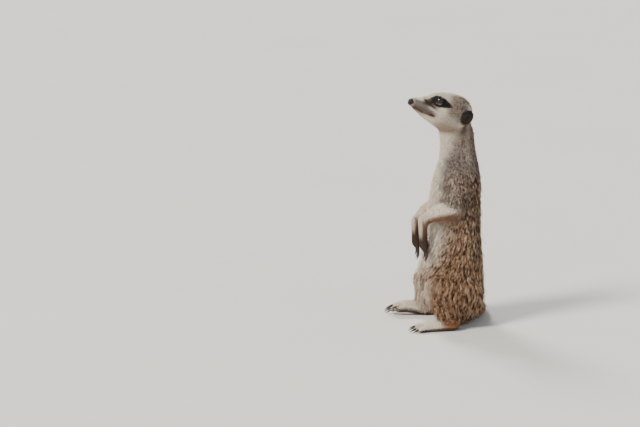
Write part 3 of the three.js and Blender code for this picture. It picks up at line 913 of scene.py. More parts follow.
def hair_lengths(points, normals, shares, length):
    """The coat's length at each point, short on the muzzle and none where the skin is bare."""
    places = left_half(points)
    back, up = places[:, 1], places[:, 2]
    from_eye = distance_from(places, EYE_CENTRE)
    share = named_shares(shares)
    head = share["head"]
    length = length * (1 - head * 0.70 * ease(48, 6, back)) * (1 + 0.3 * head * ease(50, 72, back))
    length = length * (1 - head * 0.35 * bell(from_eye, 9))
    open_lids = ease(0.9, 0.5, lid_distance(places)) * (from_eye < EYE_REACH)
    lips = bell(up - mouth_height(back), 0.7) * ease(MOUTH_CORNER + 3, MOUTH_CORNER + 1, back)
    bowl = share["ear"] * ease(6.4, 4.6, distance_from(places, EAR_CENTRE))
    sole = share["foot"] * ease(-0.5, -0.85, normals[:, 2])
    seat = ease(2.2, 0.8, points[:, 2]) * ease(-0.4, -0.75, normals[:, 2])
    pad = np.maximum(nose_rim(back, up), ease(2.8, 1.8, back))
    bare = np.maximum.reduce([open_lids * head, lips * head, pad * head, 0.8 * bowl, sole, seat])
    return length * (1 - np.clip(bare, 0, 1))


def owned_by(owner, *regions):
    """Which vertices belong to nodes of these regions."""
    names = np.array([REGION_NAMES[region_of(node)] for node in FLESH])
    return np.isin(names[owner], regions)


def even_facets(mesh, shells, rounds):
    """Eases the nodes' facets out of the skin, as strongly as each region wants."""
    points = points_of(mesh)
    owner, _ = nearest_nodes(points, shells)
    mean = neighbour_mean(mesh)
    points = eased(points, mean, 0.5 * (region_shares(owner, mean) @ REGION_TABLE)[:, 0], rounds)
    place_points(mesh, points)
    face = owned_by(owner, "head") & (to_head(points)[:, 1] < FACE_LENGTH)
    refine(mesh, owned_by(owner, "ear", "hand", "foot") | face)


def hug_small_parts(mesh, shells):
    """Draws the ears, hands and feet back to their nodes, and divides the skin of eyes and lips again."""
    points = points_of(mesh)
    owner, closest = nearest_nodes(points, shells)
    mean = neighbour_mean(mesh)
    small = owned_by(owner, "ear", "hand", "foot")
    points = eased(points, mean, 0.5, 1)
    points[small] += 0.75 * (closest - points)[small]
    points = eased(points, mean, 0.4 * small + 0.2, 2)
    place_points(mesh, points)

    places = left_half(points)
    back, up = places[:, 1], places[:, 2]
    lips = (np.abs(up - mouth_height(back)) < 2.6) & (back > 0) & (back < MOUTH_CORNER + 5)
    refine(mesh, (distance_from(places, EYE_CENTRE) < 11) | lips)


def form_features(mesh, points, owner):
    """Forms the face, the ears and the furrows between the digits, and keeps the skin off the floor."""
    face = np.flatnonzero(owned_by(owner, "head", "ear", "neck") & (points[:, 2] > FACE_LOWEST))
    places, ways = to_head(points[face]), normals_of(mesh)[face] @ HEAD_TURN
    points[face] = NOSE_TIP + from_head(shaped_head(places, ways))
    for side, sign in SIDES.items():
        ear = np.flatnonzero(owner == FLESH.index(f"ear_{side}"))
        places = to_head(points[ear]) * [sign, 1, 1]
        points[ear] = NOSE_TIP + from_head(shaped_ear(places) * [sign, 1, 1])
    points = points - FURROW_DEPTH * normals_of(mesh) * digit_furrows(points, owner)[:, None]
    points[:, 2] = np.maximum(points[:, 2], SKIN_LOWEST)
    place_points(mesh, points)


def build_skin(voxel, rounds):
    """One closed skin over every part of flesh, with each vertex's node, its shares of the regions and the
    mean of its neighbours, for its coat.
    """
    piece, shells = skin_blank(voxel)
    mesh = piece.data
    even_facets(mesh, shells, rounds)
    hug_small_parts(mesh, shells)

    points = points_of(mesh)
    owner, _ = nearest_nodes(points, shells)
    mean = neighbour_mean(mesh)
    points = eased(points, mean, 0.3, 2)
    place_points(mesh, points)
    shares = region_shares(owner, mean)
    points = points - normals_of(mesh) * (shares @ REGION_TABLE)[:, 1:2]
    place_points(mesh, points)
    form_features(mesh, points, owner)
    smooth(mesh)
    return piece, owner, shares, mean


def keep_coat_facts(mesh, owner, shares, mean):
    """Keeps the lie, length and colours of the coat on the skin's vertices, for skin and coat alike."""
    points, normals = points_of(mesh), normals_of(mesh)
    facts = shares @ REGION_TABLE
    furrow = digit_furrows(points, owner)
    hair = hair_lengths(points, normals, shares, facts[:, 2]) * (1 - 0.55 * furrow)
    short = np.clip(hair / facts[:, 2], 0, 1)
    facts[:, 3] *= 0.52 + 0.48 * short
    facts[:, 4] *= 0.85 + 0.15 * short
    paint, marks = markings(points, normals, named_shares(shares))
    # painted shade in the furrows between the digits, in the dark mark
    marks[:, 0] = np.maximum(marks[:, 0], 0.55 * furrow)
    set_attribute(mesh, "lie", coat_lie(points, normals, owner, mean))
    set_attribute(mesh, "grain", np.stack([hair, facts[:, 3], facts[:, 4], facts[:, 5]], axis=1))
    set_attribute(mesh, "paint", paint)
    set_attribute(mesh, "marks", marks)
    set_attribute(mesh, "part", owner.astype(float))


# ---- Eyes, nose and claws ----

CORNEA_RISE = 0.32  # how far the cornea stands out of the eyeball
NOSE_VOXEL = 0.28
CLAW_ROWS = 12
CLAW_SIDES = 12
CLAW_FLATNESS = 0.72  # a claw's width as a share of its height


def swept(rows, radii, sides, flat, up):
    """A closed, flattened tube along rows of points, each row a ring of its own radius."""
    ahead = unit(np.gradient(rows, axis=0))
    across = unit(np.cross(ahead, up))
    over = np.cross(across, ahead)
    turn = np.arange(sides) * 2 * math.pi / sides
    ways = np.cos(turn)[:, None] * across[:, None] * flat + np.sin(turn)[:, None] * over[:, None]
    rings = rows[:, None] + radii[:, None, None] * ways
    points = np.concatenate([rings.reshape(-1, 3), rows[:1], rows[-1:]])
    here = np.arange(sides)
    ahead_side = np.roll(here, -1)
    quads = []
    for i in range(len(rows) - 1):
        low, high = i * sides, (i + 1) * sides
        quads.append(np.stack([low + here, low + ahead_side, high + ahead_side, high + here], axis=1))
    first, last = len(rows) * sides, len(rows) * sides + 1
    high = (len(rows) - 1) * sides
    caps = [
        np.stack([ahead_side, here, np.full(sides, first)], axis=1),
        np.stack([high + here, high + ahead_side, np.full(sides, last)], axis=1),
    ]
    return points, [np.concatenate(quads), np.concatenate(caps)]


def outward(piece):
    """The piece with every face turned outwards."""
    shell = bmesh.new()
    shell.from_mesh(piece.data)
    bmesh.ops.recalc_face_normals(shell, faces=shell.faces)
    shell.to_mesh(piece.data)
    shell.free()
    piece.data.update()
    return piece


def build_eye(side, iris, pupil):
    """An eyeball with a low cornea, which carries its distances from the middle of the iris."""
    gaze, back, up = eye_axes()
    ball, faces = sphere_points(np.zeros(3), 1.0, 64, 48)
    along = np.arctan2(ball @ back, ball @ gaze) * EYE_RADIUS
    over = np.arcsin(np.clip(ball @ up, -1, 1)) * EYE_RADIUS
    from_middle = np.arccos(np.clip(ball @ gaze, -1, 1)) * EYE_RADIUS
    height = EYE_RADIUS + CORNEA_RISE * (1 - ease(iris * 0.55, iris * 1.25, from_middle))
    points = head_place(side, EYE_CENTRE + ball * height[:, None])
    piece = outward(mesh_object(f"eyeball_{side}", points, faces))
    set_attribute(piece.data, "iris", np.stack([along / iris, over / iris, from_middle / iris], axis=1))
    set_attribute(piece.data, "pupil", np.hypot(along / (pupil * 1.35), over / pupil))
    return piece


def eye_material(colours):
    """A wet dark eye: a black pupil, a brown iris with a paler ring, and a dark white."""
    sheet = Sheet("eye")
    where = sheet.node("ShaderNodeAttribute", {"attribute_name": "iris"}, out="Vector")
    parts = sheet.node("ShaderNodeSeparateXYZ", None, {0: where}).socket.node
    middle = Value(sheet, parts.outputs[2])
    rays = sheet.noise(where, 9, 3.0, 0.7)
    colour = sheet.mixed(rays, colours.iris, IRIS_RAYS)
    colour = sheet.mixed(middle.step(0.86, 1.0), colour, IRIS_EDGE)
    colour = sheet.mixed(middle.step(1.02, 1.12), colour, EYE_WHITE)
    hole = 1.0 - sheet.number("pupil").step(0.9, 1.05)
    colour = sheet.mixed(hole, colour, PUPIL)
    rough = 0.06 + rays * 0.04
    finish = {"Coat_Weight": 1.0, "Coat_Roughness": 0.03, "Specular_IOR_Level": 0.0}
    return sheet.finish(Base_Color=colour, Roughness=rough, **finish)


def build_nose():
    """The bare nose pad, with its nostrils and the furrow between them."""
    points, faces = welded_node("nose", 0.25)
    places = to_head(points)
    middle = places.mean(axis=0)
    shrink = 1 - 0.12 * ease(0.4, 3.4, places[:, 1:2])
    places[:, [0, 2]] = middle[[0, 2]] + (places[:, [0, 2]] - middle[[0, 2]]) * shrink
    places[:, 1] += 2.6 * ease(1.2, 3.2, places[:, 1])
    places[:, 2] -= 0.5 * ease(0, 4, places[:, 2])
    piece = mesh_object("nose_pad", NOSE_TIP + from_head(places), faces)
    mesh = remeshed(piece, NOSE_VOXEL).data
    place_points(mesh, eased(points_of(mesh), neighbour_mean(mesh), 0.5, 9))
    points, normals = points_of(mesh), normals_of(mesh)
    out, back, up = left_half(points).T
    nostril = spot((out - 2.1) / 1.15, up - 0.5, 0.95)
    slit = bell((up - 0.2) + 0.30 * (out - 3.0), 0.42) * ease(2.2, 3.2, out)
    furrow = bell(out, 0.30) * ease(1.8, 0.2, up)
    depth = 1.5 * nostril + 0.6 * slit * ease(5.4, 4.4, out) + 0.4 * furrow
    depth[back > 6] = 0
    place_points(mesh, points - normals * depth[:, None])
    # the hollows, which the nose's material fills with painted shade
    set_attribute(mesh, "hollow", np.clip(nostril + 0.7 * slit + 0.5 * furrow, 0, 1))
    smooth(mesh)
    return piece


def nose_material(colours):
    """Black pebbled hide, a little moist, with painted shade that is darkest in the nostrils and lighter
    in the slits and the furrow between them.
    """
    sheet = Sheet("nose")
    place = sheet.object_place((1, 1, 1))
    cells = {"Vector": place, "Scale": 1500.0}
    pebbles = sheet.node("ShaderNodeTexVoronoi", None, cells, out="Distance")
    worn = sheet.noise(place, 420, 2.0)
    colour = sheet.mixed(worn * 0.5, colours.nose, WORN_HIDE)
    colour = sheet.mixed(sheet.number("hollow"), colour, NOSTRIL_SHADE)
    rough = 0.42 + pebbles * 0.25
    normal = sheet.bump(pebbles, 0.8, 0.16)
    return sheet.finish(Base_Color=colour, Roughness=rough, Normal=normal, Specular_IOR_Level=0.3)


def build_claw(node, sharpness):
    """A tapered, curved claw along the line of the solid one that it stands for."""
    points, _ = welded_node(node)
    middle = points.mean(axis=0)
    axis = np.linalg.svd(points - middle)[2][0]
    downwards_or_forwards = 2 if node.startswith("hand") else 1
    axis = axis * -np.sign(axis[downwards_or_forwards])
    along = (points - middle) @ axis
    rest = points - middle - along[:, None] * axis
    curve = [np.polyfit(along, rest[:, k], 2) for k in range(3)]
    reach = np.linspace(along.min() - 0.8, along.max(), CLAW_ROWS)
    rows = middle + reach[:, None] * axis + np.stack([np.polyval(fit, reach) for fit in curve], axis=1)
    share = np.linspace(0, 1, CLAW_ROWS)
    wide = 0.82 * np.linalg.norm(rest, axis=1).max()
    radii = wide * (1 - share**sharpness) ** 0.75 + 0.10
    name = node.replace("_claw_", "_nail_")
    points, faces = swept(rows, radii, CLAW_SIDES, CLAW_FLATNESS, np.cross(axis, [1, 0, 0]))
    points[:, 2] = np.maximum(points[:, 2], CLAW_LOWEST)
    piece = outward(mesh_object(name, points, faces))
    set_attribute(piece.data, "toward_tip", np.concatenate([np.repeat(share, CLAW_SIDES), [0, 1]]))
    return piece


def claw_material(colours):
    """Dark horn, striped along its length and paler at the tip."""
    sheet = Sheet("claw")
    place = sheet.object_place((1, 1, 0.25))
    stripes = sheet.noise(place, 2600, 2.0, 0.6)
    tip = sheet.number("toward_tip")
    colour = sheet.mixed(tip.step(0.35, 1.1) * 0.7, colours.claw, CLAW_TIP)
    colour = sheet.mixed(stripes * 0.5, colour, CLAW_STRIPE)
    normal = sheet.bump(stripes, 0.35, 0.1)
    return sheet.finish(Base_Color=colour, Roughness=0.28 + stripes * 0.18, Normal=normal)


# ---- Whiskers ----

# Rows of whisker roots on the left half of the head: first and last place, how many, way and length.
WHISKER_ROWS = (
    ((5.6, 8.5, -1.6), (7.6, 17.0, -0.6), 5, (0.80, 0.56, -0.06), 11.0),
    ((5.6, 8.0, -3.6), (8.0, 17.5, -3.0), 5, (0.76, 0.56, -0.30), 12.5),
    ((4.6, 9.0, -5.0), (7.0, 16.0, -5.0), 4, (0.64, 0.52, -0.55), 9.5),
    ((7.5, 27.0, 20.0), (9.0, 33.0, 21.0), 2, (0.42, 0.30, 0.80), 8.0),
    ((3.0, 12.0, -9.6), (4.4, 17.0, -10.4), 2, (0.40, 0.30, -0.85), 6.0),
)


def whisker_tree(defaults):
    """Geometry nodes that grow one tapered, drooping whisker from each point, along its own way."""
    tree = bpy.data.node_groups.new("Whiskers", "GeometryNodeTree")
    tree.interface.new_socket("Roots", in_out="INPUT", socket_type="NodeSocketGeometry")
    kinds = {float: "NodeSocketFloat", int: "NodeSocketInt"}
    for name, value in defaults.items():
        socket = tree.interface.new_socket(name, in_out="INPUT", socket_type=kinds[type(value)])
        socket.default_value = value
    tree.interface.new_socket("Material", in_out="INPUT", socket_type="NodeSocketMaterial")
    tree.interface.new_socket("Whiskers", in_out="OUTPUT", socket_type="NodeSocketGeometry")
    given = tree.nodes.new("NodeGroupInput").outputs

    def node(kind, links, out=0, **settings):
        """A node with its settings, and its inputs' values or links; one of its outputs."""
        made = tree.nodes.new(kind)
        for key, setting in settings.items():
            setattr(made, key, setting)
        for key, value in links.items():
            if isinstance(value, bpy.types.NodeSocket):
                tree.links.new(value, made.inputs[key])
            else:
                made.inputs[key].default_value = value
        return made.outputs[out]

    droop = node("ShaderNodeCombineXYZ", {"X": given["Droop"], "Z": 0.6})
    line = {"Resolution": given["Rows"], "Start": (0, 0, -0.04), "Middle": droop, "End": (0, 0, 1)}
    spine = node("GeometryNodeCurveQuadraticBezier", line)
    along = node("GeometryNodeSplineParameter", {})
    thin = node("ShaderNodeMath", {0: 1.06, 1: along}, operation="SUBTRACT")
    radius = node("ShaderNodeMath", {0: thin, 1: given["Thickness"]}, operation="MULTIPLY")
    ring = node("GeometryNodeCurvePrimitiveCircle", {"Resolution": given["Sides"], "Radius": 1.0})
    sweep = {"Curve": spine, "Profile Curve": ring, "Scale": radius, "Fill Caps": True}
    hair = node("GeometryNodeCurveToMesh", sweep)
    way = node("GeometryNodeInputNamedAttribute", {"Name": "way"}, data_type="FLOAT_VECTOR")
    turn = node("FunctionNodeAlignRotationToVector", {"Vector": way}, axis="Z")
    length = node("GeometryNodeInputNamedAttribute", {"Name": "length"}, data_type="FLOAT")
    chance = node("FunctionNodeRandomValue", {2: 0.85, 3: 1.12, "Seed": given["Seed"]}, out=1)
    scale = node("ShaderNodeMath", {0: length, 1: chance}, operation="MULTIPLY")
    grown = {"Points": given["Roots"], "Instance": hair, "Rotation": turn, "Scale": scale}
    whiskers = node("GeometryNodeInstanceOnPoints", grown)
    whiskers = node("GeometryNodeRealizeInstances", {"Geometry": whiskers})
    whiskers = node("GeometryNodeSetMaterial", {"Geometry": whiskers, "Material": given["Material"]})
    tree.links.new(whiskers, tree.nodes.new("NodeGroupOutput").inputs[0])
    return tree


def build_whiskers(skin, material, defaults):
    """The whiskers of both sides, rooted on the skin, as one plain mesh."""
    faces = [list(face.vertices) for face in skin.polygons]
    tree = BVHTree.FromPolygons(points_of(skin).tolist(), faces)
    roots, ways, lengths = [], [], []
    for side, sign in SIDES.items():
        for first, last, count, way, length in WHISKER_ROWS:
            for share in np.linspace(0, 1, count):
                place = head_place(side, np.array(first) * (1 - share) + np.array(last) * share)
                roots.append(tree.find_nearest(place.tolist())[0])
                ways.append(from_head(unit(np.array(way) * [sign, 1, 1])))
                lengths.append(length * MM * (0.75 + 0.5 * share))
    mesh = bpy.data.meshes.new("whisker_roots")
    mesh.from_pydata([np.array(root) * MM for root in roots], [], [])
    set_attribute(mesh, "way", np.array(ways))
    set_attribute(mesh, "length", np.array(lengths))
    piece = bpy.data.objects.new("whiskers", mesh)
    bpy.context.scene.collection.objects.link(piece)
    group = whisker_tree(defaults)
    modifier = piece.modifiers.new("whiskers", "NODES")
    modifier.node_group = group
    inputs = [item for item in group.interface.items_tree if item.in_out == "INPUT"]
    sockets = {item.name: item.identifier for item in inputs}
    for name, value in defaults.items():
        modifier[sockets[name]] = value
    modifier[sockets["Material"]] = material
    smooth(applied(piece).data)
    return outward(piece)


def whisker_material(colours):
    """Stiff black hair, with a soft gloss."""
    sheet = Sheet("whisker")
    streaks = sheet.noise(sheet.object_place((1, 1, 1)), 900, 2.0)
    colour = sheet.mixed(streaks, colours.black, WHISKER_SHEEN)
    return sheet.finish(Base_Color=colour, Roughness=0.3 + streaks * 0.15)


# ---- Coat ----

# Each coat piece: its nodes, the side of the body that it keeps to (0 for both), the strands in a tuft,
# and the rings in a strand.
COATS = {"ears": (["ear_left", "ear_right"], 0, 3, 2), "neck": (["neck"], 0, 2, 3)}
for side_name, side_sign in SIDES.items():
    COATS[f"head_{side_name}"] = (["head"], side_sign, 3, 2)
    COATS[f"chest_{side_name}"] = (["chest"], side_sign, 3, 3)
    COATS[f"abdomen_{side_name}"] = (["abdomen"], side_sign, 3, 3)
    COATS[f"thigh_{side_name}"] = ([f"thigh_{side_name}"], 0, 3, 3)
    arm_parts = [f"{part}_{side_name}" for part in ("upper_arm", "forearm", "hand")]
    COATS[f"arm_{side_name}"] = (arm_parts, 0, 3, 2)
    COATS[f"leg_{side_name}"] = ([f"{part}_{side_name}" for part in ("shank", "foot")], 0, 3, 2)
COATS["tail"] = (["tail_base", "tail_middle", "tail_tip"], 0, 3, 2)

PATCH = 0.003  # the width of a tuft's patch on the coat's UV map
LOOSE_TUFTS = 0.05  # the share of tufts that stand off from the rest
CELL = 0.9  # the width of the cells by which the skin's triangles are put in order
CELL_BITS = 9  # two to this power is how many cells there are along each axis
TRUNK_RADIUS = 35.0
TRUNK_MIDDLE = 4.0  # the place of the trunk's axis along Y
DASH_ROW = 9.0  # the height of a row of dark dashes on the back
DASH_STEP = 5.0  # from one dash to the next, round the trunk
DASHED = 0.62  # how much of the back's dark and pale tips follow the dashes, and not chance


class SkinFacts:
    """The skin's triangles, and what it keeps on its vertices, read once for all the coat's pieces."""

    def __init__(self, mesh):
        mesh.calc_loop_triangles()
        self.faces = read_rows(mesh.loop_triangles, "vertices", 3, np.int32)
        self.points = points_of(mesh)
        self.normals = normals_of(mesh)
        self.lie = get_attribute(mesh, "lie", 3)
        self.grain, self.paint, self.marks = (
            get_attribute(mesh, name, 4) for name in ("grain", "paint", "marks")
        )
        self.part = np.rint(get_attribute(mesh, "part", 1)[:, 0]).astype(int)
        self.tree = BVHTree.FromPolygons(self.points.tolist(), self.faces.tolist())


def cell_order(points):
    """An order of the points in which neighbours in the list are neighbours in space."""
    cells = ((points - points.min(axis=0)) / CELL).astype(np.int64)
    key = np.zeros(len(points), np.int64)
    for bit in range(CELL_BITS):
        for axis in range(3):
            key |= ((cells[:, axis] >> bit) & 1) << (3 * bit + axis)
    return np.argsort(key, kind="stable")


def scattered(facts, chosen, density, chance):
    """Roots spread over the chosen triangles by the coat's spacing: their corners, and shares of them."""
    faces = facts.faces[chosen]
    faces = faces[cell_order(facts.points[faces].mean(axis=1))]
    one, two, three = (facts.points[faces[:, k]] for k in range(3))
    area = 0.5 * np.linalg.norm(np.cross(two - one, three - one), axis=1)
    gap, hair = facts.grain[faces, 1].mean(axis=1), facts.grain[faces, 0].mean(axis=1)
    wanted = np.cumsum(area / gap**2 * density * (hair > 0.5))
    count = int(wanted[-1])
    stops = (np.arange(count) + chance.uniform(0.2, 0.8, count)) * (wanted[-1] / count)
    picked = np.minimum(np.searchsorted(wanted, stops), len(faces) - 1)
    shares = chance.random((count, 2))
    over = shares.sum(axis=1) > 1
    shares[over] = 1 - shares[over]
    shares = np.concatenate([1 - shares.sum(axis=1, keepdims=True), shares], axis=1)
    return faces[picked], shares


def blended(values, corners, shares):
    """Values of the skin's vertices at places inside its triangles."""
    return np.einsum("ij,ijk->ik", shares, values[corners])


def unrolled(facts, nodes, roots, part):
    """Each root's place on the unrolled skin, where a node is a cylinder rolled out in its own cell."""
    columns = math.ceil(math.sqrt(len(nodes)))
    size = 1 / columns
    flat = np.zeros((len(roots), 2))
    for cell, node in enumerate(nodes):
        index = FLESH.index(node)
        mine = part == index
        points = facts.points[facts.part == index]
        middle = points.mean(axis=0)
        axis, across, over = np.linalg.svd(points - middle, full_matrices=False)[2]
        offset = roots[mine] - middle
        span = (points - middle) @ axis
        along = (offset @ axis - span.min()) / (span.max() - span.min())
        around = np.arctan2(offset @ over, offset @ across) / (2 * math.pi) + 0.5
        place = np.clip(np.stack([around, along], axis=1), 0, 1) * (size - 4 * PATCH) + 2 * PATCH
        flat[mine] = place + [cell % columns * size, cell // columns * size]
    return flat


def across_middle(points):
    """How far to the left of the animal's middle plane a point is; the plane turns with the head."""
    turned = to_head(points)[:, 0]
    return points[:, 0] + (turned - points[:, 0]) * ease(225, 240, points[:, 2])


def dashes(points):
    """Which tips are dark (towards 1) or pale (towards 0): short dashes, side by side round the body."""
    across, along, up = points.T
    around = TRUNK_RADIUS * np.arctan2(across, along - TRUNK_MIDDLE)
    row = np.floor(up / DASH_ROW + 0.3 * np.sin(around * 0.19))
    shift = math.pi * row + 1.9 * np.sin(row * 2.3) + 1.2 * np.sin(0.31 * around + 0.17 * up + 1.3 * row)
    side_by_side = 0.5 + 0.5 * np.cos(around * 2 * math.pi / DASH_STEP + shift)
    band = 0.5 + 0.5 * np.sin(up * 0.42 + 0.9 * np.sin(around * 0.06))
    return 0.74 * side_by_side + 0.26 * band


class Tufts:
    """A piece's tufts: where each is rooted, the way it lies, where its tip comes down, and its tones."""

    def __init__(self, facts, corners, shares, sizes, chance):
        count = len(corners)
        self.roots = blended(facts.points, corners, shares)
        self.normals = unit(blended(facts.normals, corners, shares))
        self.hair, self.gap, width, lift = blended(facts.grain, corners, shares).T
        self.width = width * sizes.width

        lie = along_skin(blended(facts.lie, corners, shares), self.normals)
        turn = np.radians(chance.normal(0, sizes.tousle, count))[:, None]
        self.lie = lie * np.cos(turn) + np.cross(self.normals, lie) * np.sin(turn)
        self.side = np.cross(self.normals, self.lie)
        loose = chance.random(count) < LOOSE_TUFTS
        self.length = self.hair * chance.uniform(0.78, 1.18, count) * (1 + 0.15 * loose) * sizes.length
        self.rise = self.length * lift * chance.uniform(0.6, 1.35, count) * (1 + 1.1 * loose)
        self.land(facts.tree)

        self.tone = chance.random(count)
        dashed = DASHED * ease(190, 135, self.roots[:, 2])
        self.pick = (1 - dashed) * chance.random(count) + dashed * dashes(self.roots)

    def land(self, tree):
        """Lays the tips back on the skin, where it is near them, and lifts them by their rise."""
        ahead = self.roots + self.lie * self.length[:, None]
        hits = [tree.find_nearest(place) for place in ahead.tolist()]
        landed = np.array([hit[0] for hit in hits])
        self.landed_way = np.array([hit[1] for hit in hits])
        stray = distance_from(landed, ahead) > 0.55 * self.length
        landed[stray], self.landed_way[stray] = ahead[stray], self.normals[stray]
        self.tips = landed + self.landed_way * self.rise[:, None]

    def spines(self, spread, chance):
        """The start, bend and end of one strand of each tuft, spread from -1 on one side to 1."""
        count, gap = len(self.roots), self.gap
        root_shift = self.side * (spread * gap * 0.42 + chance.normal(0, 0.14, count) * gap)[:, None]
        root_shift += self.lie * (chance.uniform(-0.45, 0.45, count) * gap)[:, None]
        tip_shift = self.side * (spread * gap * 0.30 + chance.normal(0, 0.16, count) * gap)[:, None]
        tip_shift += self.lie * (chance.uniform(-0.16, 0.10, count) * self.length)[:, None]
        start = self.roots + root_shift - self.normals * (0.12 + 0.05 * self.hair)[:, None]
        end = self.tips + tip_shift
        end += self.landed_way * (chance.normal(0, 0.10, count) * self.rise)[:, None]
        bend = self.roots + root_shift + self.lie * (0.42 * self.length)[:, None]
        bend += self.normals * (self.rise * 1.05 + 0.1)[:, None]
        return start, bend, end

    def ring(self, centre, girth):
        """The three corners of a strand's ring: two on its sides and one on top."""
        half = (0.5 * self.width * girth)[:, None]
        return [centre - self.side * half, centre + self.side * half, centre + self.normals * half * 0.6]


def strand_rows(tufts, flat, strands, rings, chance):
    """The points of every tuft's strands, what the coat's material reads there, and their UV places."""
    levels = np.linspace(0, 1, rings + 1)
    girths = np.interp(levels, (0, 0.3, 0.65, 1.0), (0.6, 1.0, 0.8, 0.0))
    points, reads, uv = [], [], []
    for strand, spread in enumerate(np.linspace(-1, 1, strands)):
        start, bend, end = tufts.spines(spread, chance)
        tone = 0.55 * tufts.tone + 0.45 * chance.random(len(flat))
        for share, girth in zip(levels, girths):
            centre = start * (1 - share) ** 2 + bend * 2 * share * (1 - share) + end * share**2
            at_tip = share == 1
            points += [centre] if at_tip else tufts.ring(centre, girth)
            for across in (0.5,) if at_tip else (0.0, 1.0, 0.5):
                level, place = np.full(len(flat), share), np.full(len(flat), across)
                reads.append(np.stack([tone, level, tufts.pick, place], axis=1))
                uv.append(flat + np.array([(strand + 0.9 * across) / strands, share]) * PATCH)
    return (np.stack(rows, axis=1) for rows in (points, reads, uv))


def build_coat(name, facts, sizes, seed):
    """One piece of the coat: tufts of flat, tapering strands over the skin of its nodes."""
    nodes, keep, strands, rings = COATS[name]
    chance = np.random.default_rng(seed)
    chosen = np.isin(facts.part[facts.faces[:, 0]], [FLESH.index(node) for node in nodes])
    if keep:
        chosen &= across_middle(facts.points[facts.faces].mean(axis=1)) * keep > 0
    corners, shares = scattered(facts, np.flatnonzero(chosen), sizes.fullness, chance)
    tufts = Tufts(facts, corners, shares, sizes, chance)
    flat = unrolled(facts, nodes, tufts.roots, facts.part[corners[:, 0]])
    points, reads, uv = strand_rows(tufts, flat, strands, rings, chance)

    count, per_tuft = points.shape[:2]
    points = points.reshape(-1, 3)
    points[:, 2] = np.maximum(points[:, 2], HAIR_LOWEST)
    starts = (np.arange(count) * per_tuft)[:, None, None]
    one_tuft = strand_faces(strands, rings)
    groups = [(group[None] + starts).reshape(-1, group.shape[1]) for group in one_tuft]
    piece = mesh_object(f"coat_{name}", points, groups)
    mesh = piece.data
    set_attribute(mesh, "tuft", reads.reshape(-1, 4))
    set_attribute(mesh, "paint", np.repeat(blended(facts.paint, corners, shares), per_tuft, axis=0))
    set_attribute(mesh, "marks", np.repeat(blended(facts.marks, corners, shares), per_tuft, axis=0))
    loops = np.concatenate([group.ravel() for group in groups])
    layer = mesh.uv_layers.new(name="OFBake")
    layer.data.foreach_set("uv", uv.reshape(-1, 2)[loops].astype(np.float32).ravel())
    triangles = count * sum(len(group) * (group.shape[1] - 2) for group in one_tuft)
    print(f"coat_{name}: {count} tufts, {triangles} triangles")
    return piece


def strand_faces(strands, rings):
    """The quads and triangles of one tuft's closed, three-sided strands."""
    quads, triangles = [], []
    per_strand = 3 * rings + 1
    for strand in range(strands):
        base = strand * per_strand
        for level in range(rings - 1):
            low = base + 3 * level
            for one, two in ((0, 1), (1, 2), (2, 0)):
                quads.append((low + one, low + two, low + 3 + two, low + 3 + one))
        low, tip = base + 3 * (rings - 1), base + per_strand - 1
        triangles += [(low + one, low + two, tip) for one, two in ((0, 1), (1, 2), (2, 0))]
        triangles.append((base, base + 2, base + 1))
    return [np.array(quads), np.array(triangles)]


# ---- Stage ----

CAMERA_FROM = np.array([0.9595, -0.169, 0.225])  # the way from the animal to the camera
IMAGE_RIGHT = np.array([0.174, 0.985, 0.0])  # the ways that are right and up in the picture
IMAGE_UP = np.array([-0.2216, 0.039, 0.974])
AIM_RIGHT = -155.8  # the middle of the picture is this far right and up from the origin
AIM_UP = 128.6
VIEW_WIDTH = 762.0  # across the picture, at the animal
SENSOR = 36  # the width of the camera's sensor
LIGHTS_AIM = (0, 0, 0.13)  # in metres


def aimed(thing, place, target):
    """Puts a light or the camera at a place in metres, looking at a target."""
    way = Vector(target) - Vector(place)
    thing.matrix_world = Matrix.Translation(place) @ way.to_track_quat("-Z", "Y").to_matrix().to_4x4()
    bpy.context.scene.collection.objects.link(thing)


def build_camera(distance):
    """The camera at the animal's left, a little above it."""
    aim = (IMAGE_RIGHT * AIM_RIGHT + IMAGE_UP * AIM_UP) * MM
    lens = bpy.data.cameras.new("camera")
    lens.sensor_width = SENSOR
    lens.lens = SENSOR * distance / (VIEW_WIDTH * MM)
    camera = bpy.data.objects.new("camera", lens)
    aimed(camera, aim + unit(CAMERA_FROM) * distance, aim)
    bpy.context.scene.camera = camera


def build_lights(power, sky):
    """A warm key from before and above, a rim from behind, a soft fill by the camera, and a pale sky."""
    # Each light's name, place, width in degrees, share of the power, and colour.
    lights = (
        ("key", (0.65, -1.6, 1.8), 16, 1.0, (1.0, 0.94, 0.86)),
        ("rim", (-1.5, -0.5, 1.6), 18, 0.6, (1.0, 0.96, 0.9)),
        ("fill", (2.3, 1.2, 0.9), 60, 0.17, (0.88, 0.94, 1.0)),
    )
    for name, place, width, share, colour in lights:
        lamp = bpy.data.lights.new(name, "SUN")
        lamp.angle = math.radians(width)
        lamp.energy = power * share
        lamp.color = colour
        aimed(bpy.data.objects.new(name, lamp), place, LIGHTS_AIM)
    world = bpy.data.worlds.new("sky")
    world.use_nodes = True
    background = world.node_tree.nodes["Background"].inputs
    background["Color"].default_value = (0.86, 0.9, 0.95, 1)
    background["Strength"].default_value = sky
    bpy.context.scene.world = world


def floor_material(colours):
    """A plain pale floor with a faint unevenness."""
    sheet = Sheet("floor")
    patches = sheet.noise(sheet.object_place((1, 1, 1)), 3.0, 3.0)
    colour = sheet.mixed(patches, colours.floor, [0.93 * part for part in colours.floor])
    return sheet.finish(Base_Color=colour, Roughness=0.75 + patches * 0.1)


def build_floor(size, colours):
    """A plain floor, wide enough to fill the picture."""
    corners = np.array([(-1, -1, 0), (1, -1, 0), (1, 1, 0), (-1, 1, 0)]) * size / MM
    piece = mesh_object("floor", corners, np.array([[0, 1, 2, 3]]))
    piece.data.materials.append(floor_material(colours))
    return piece


# ---- Settings ----


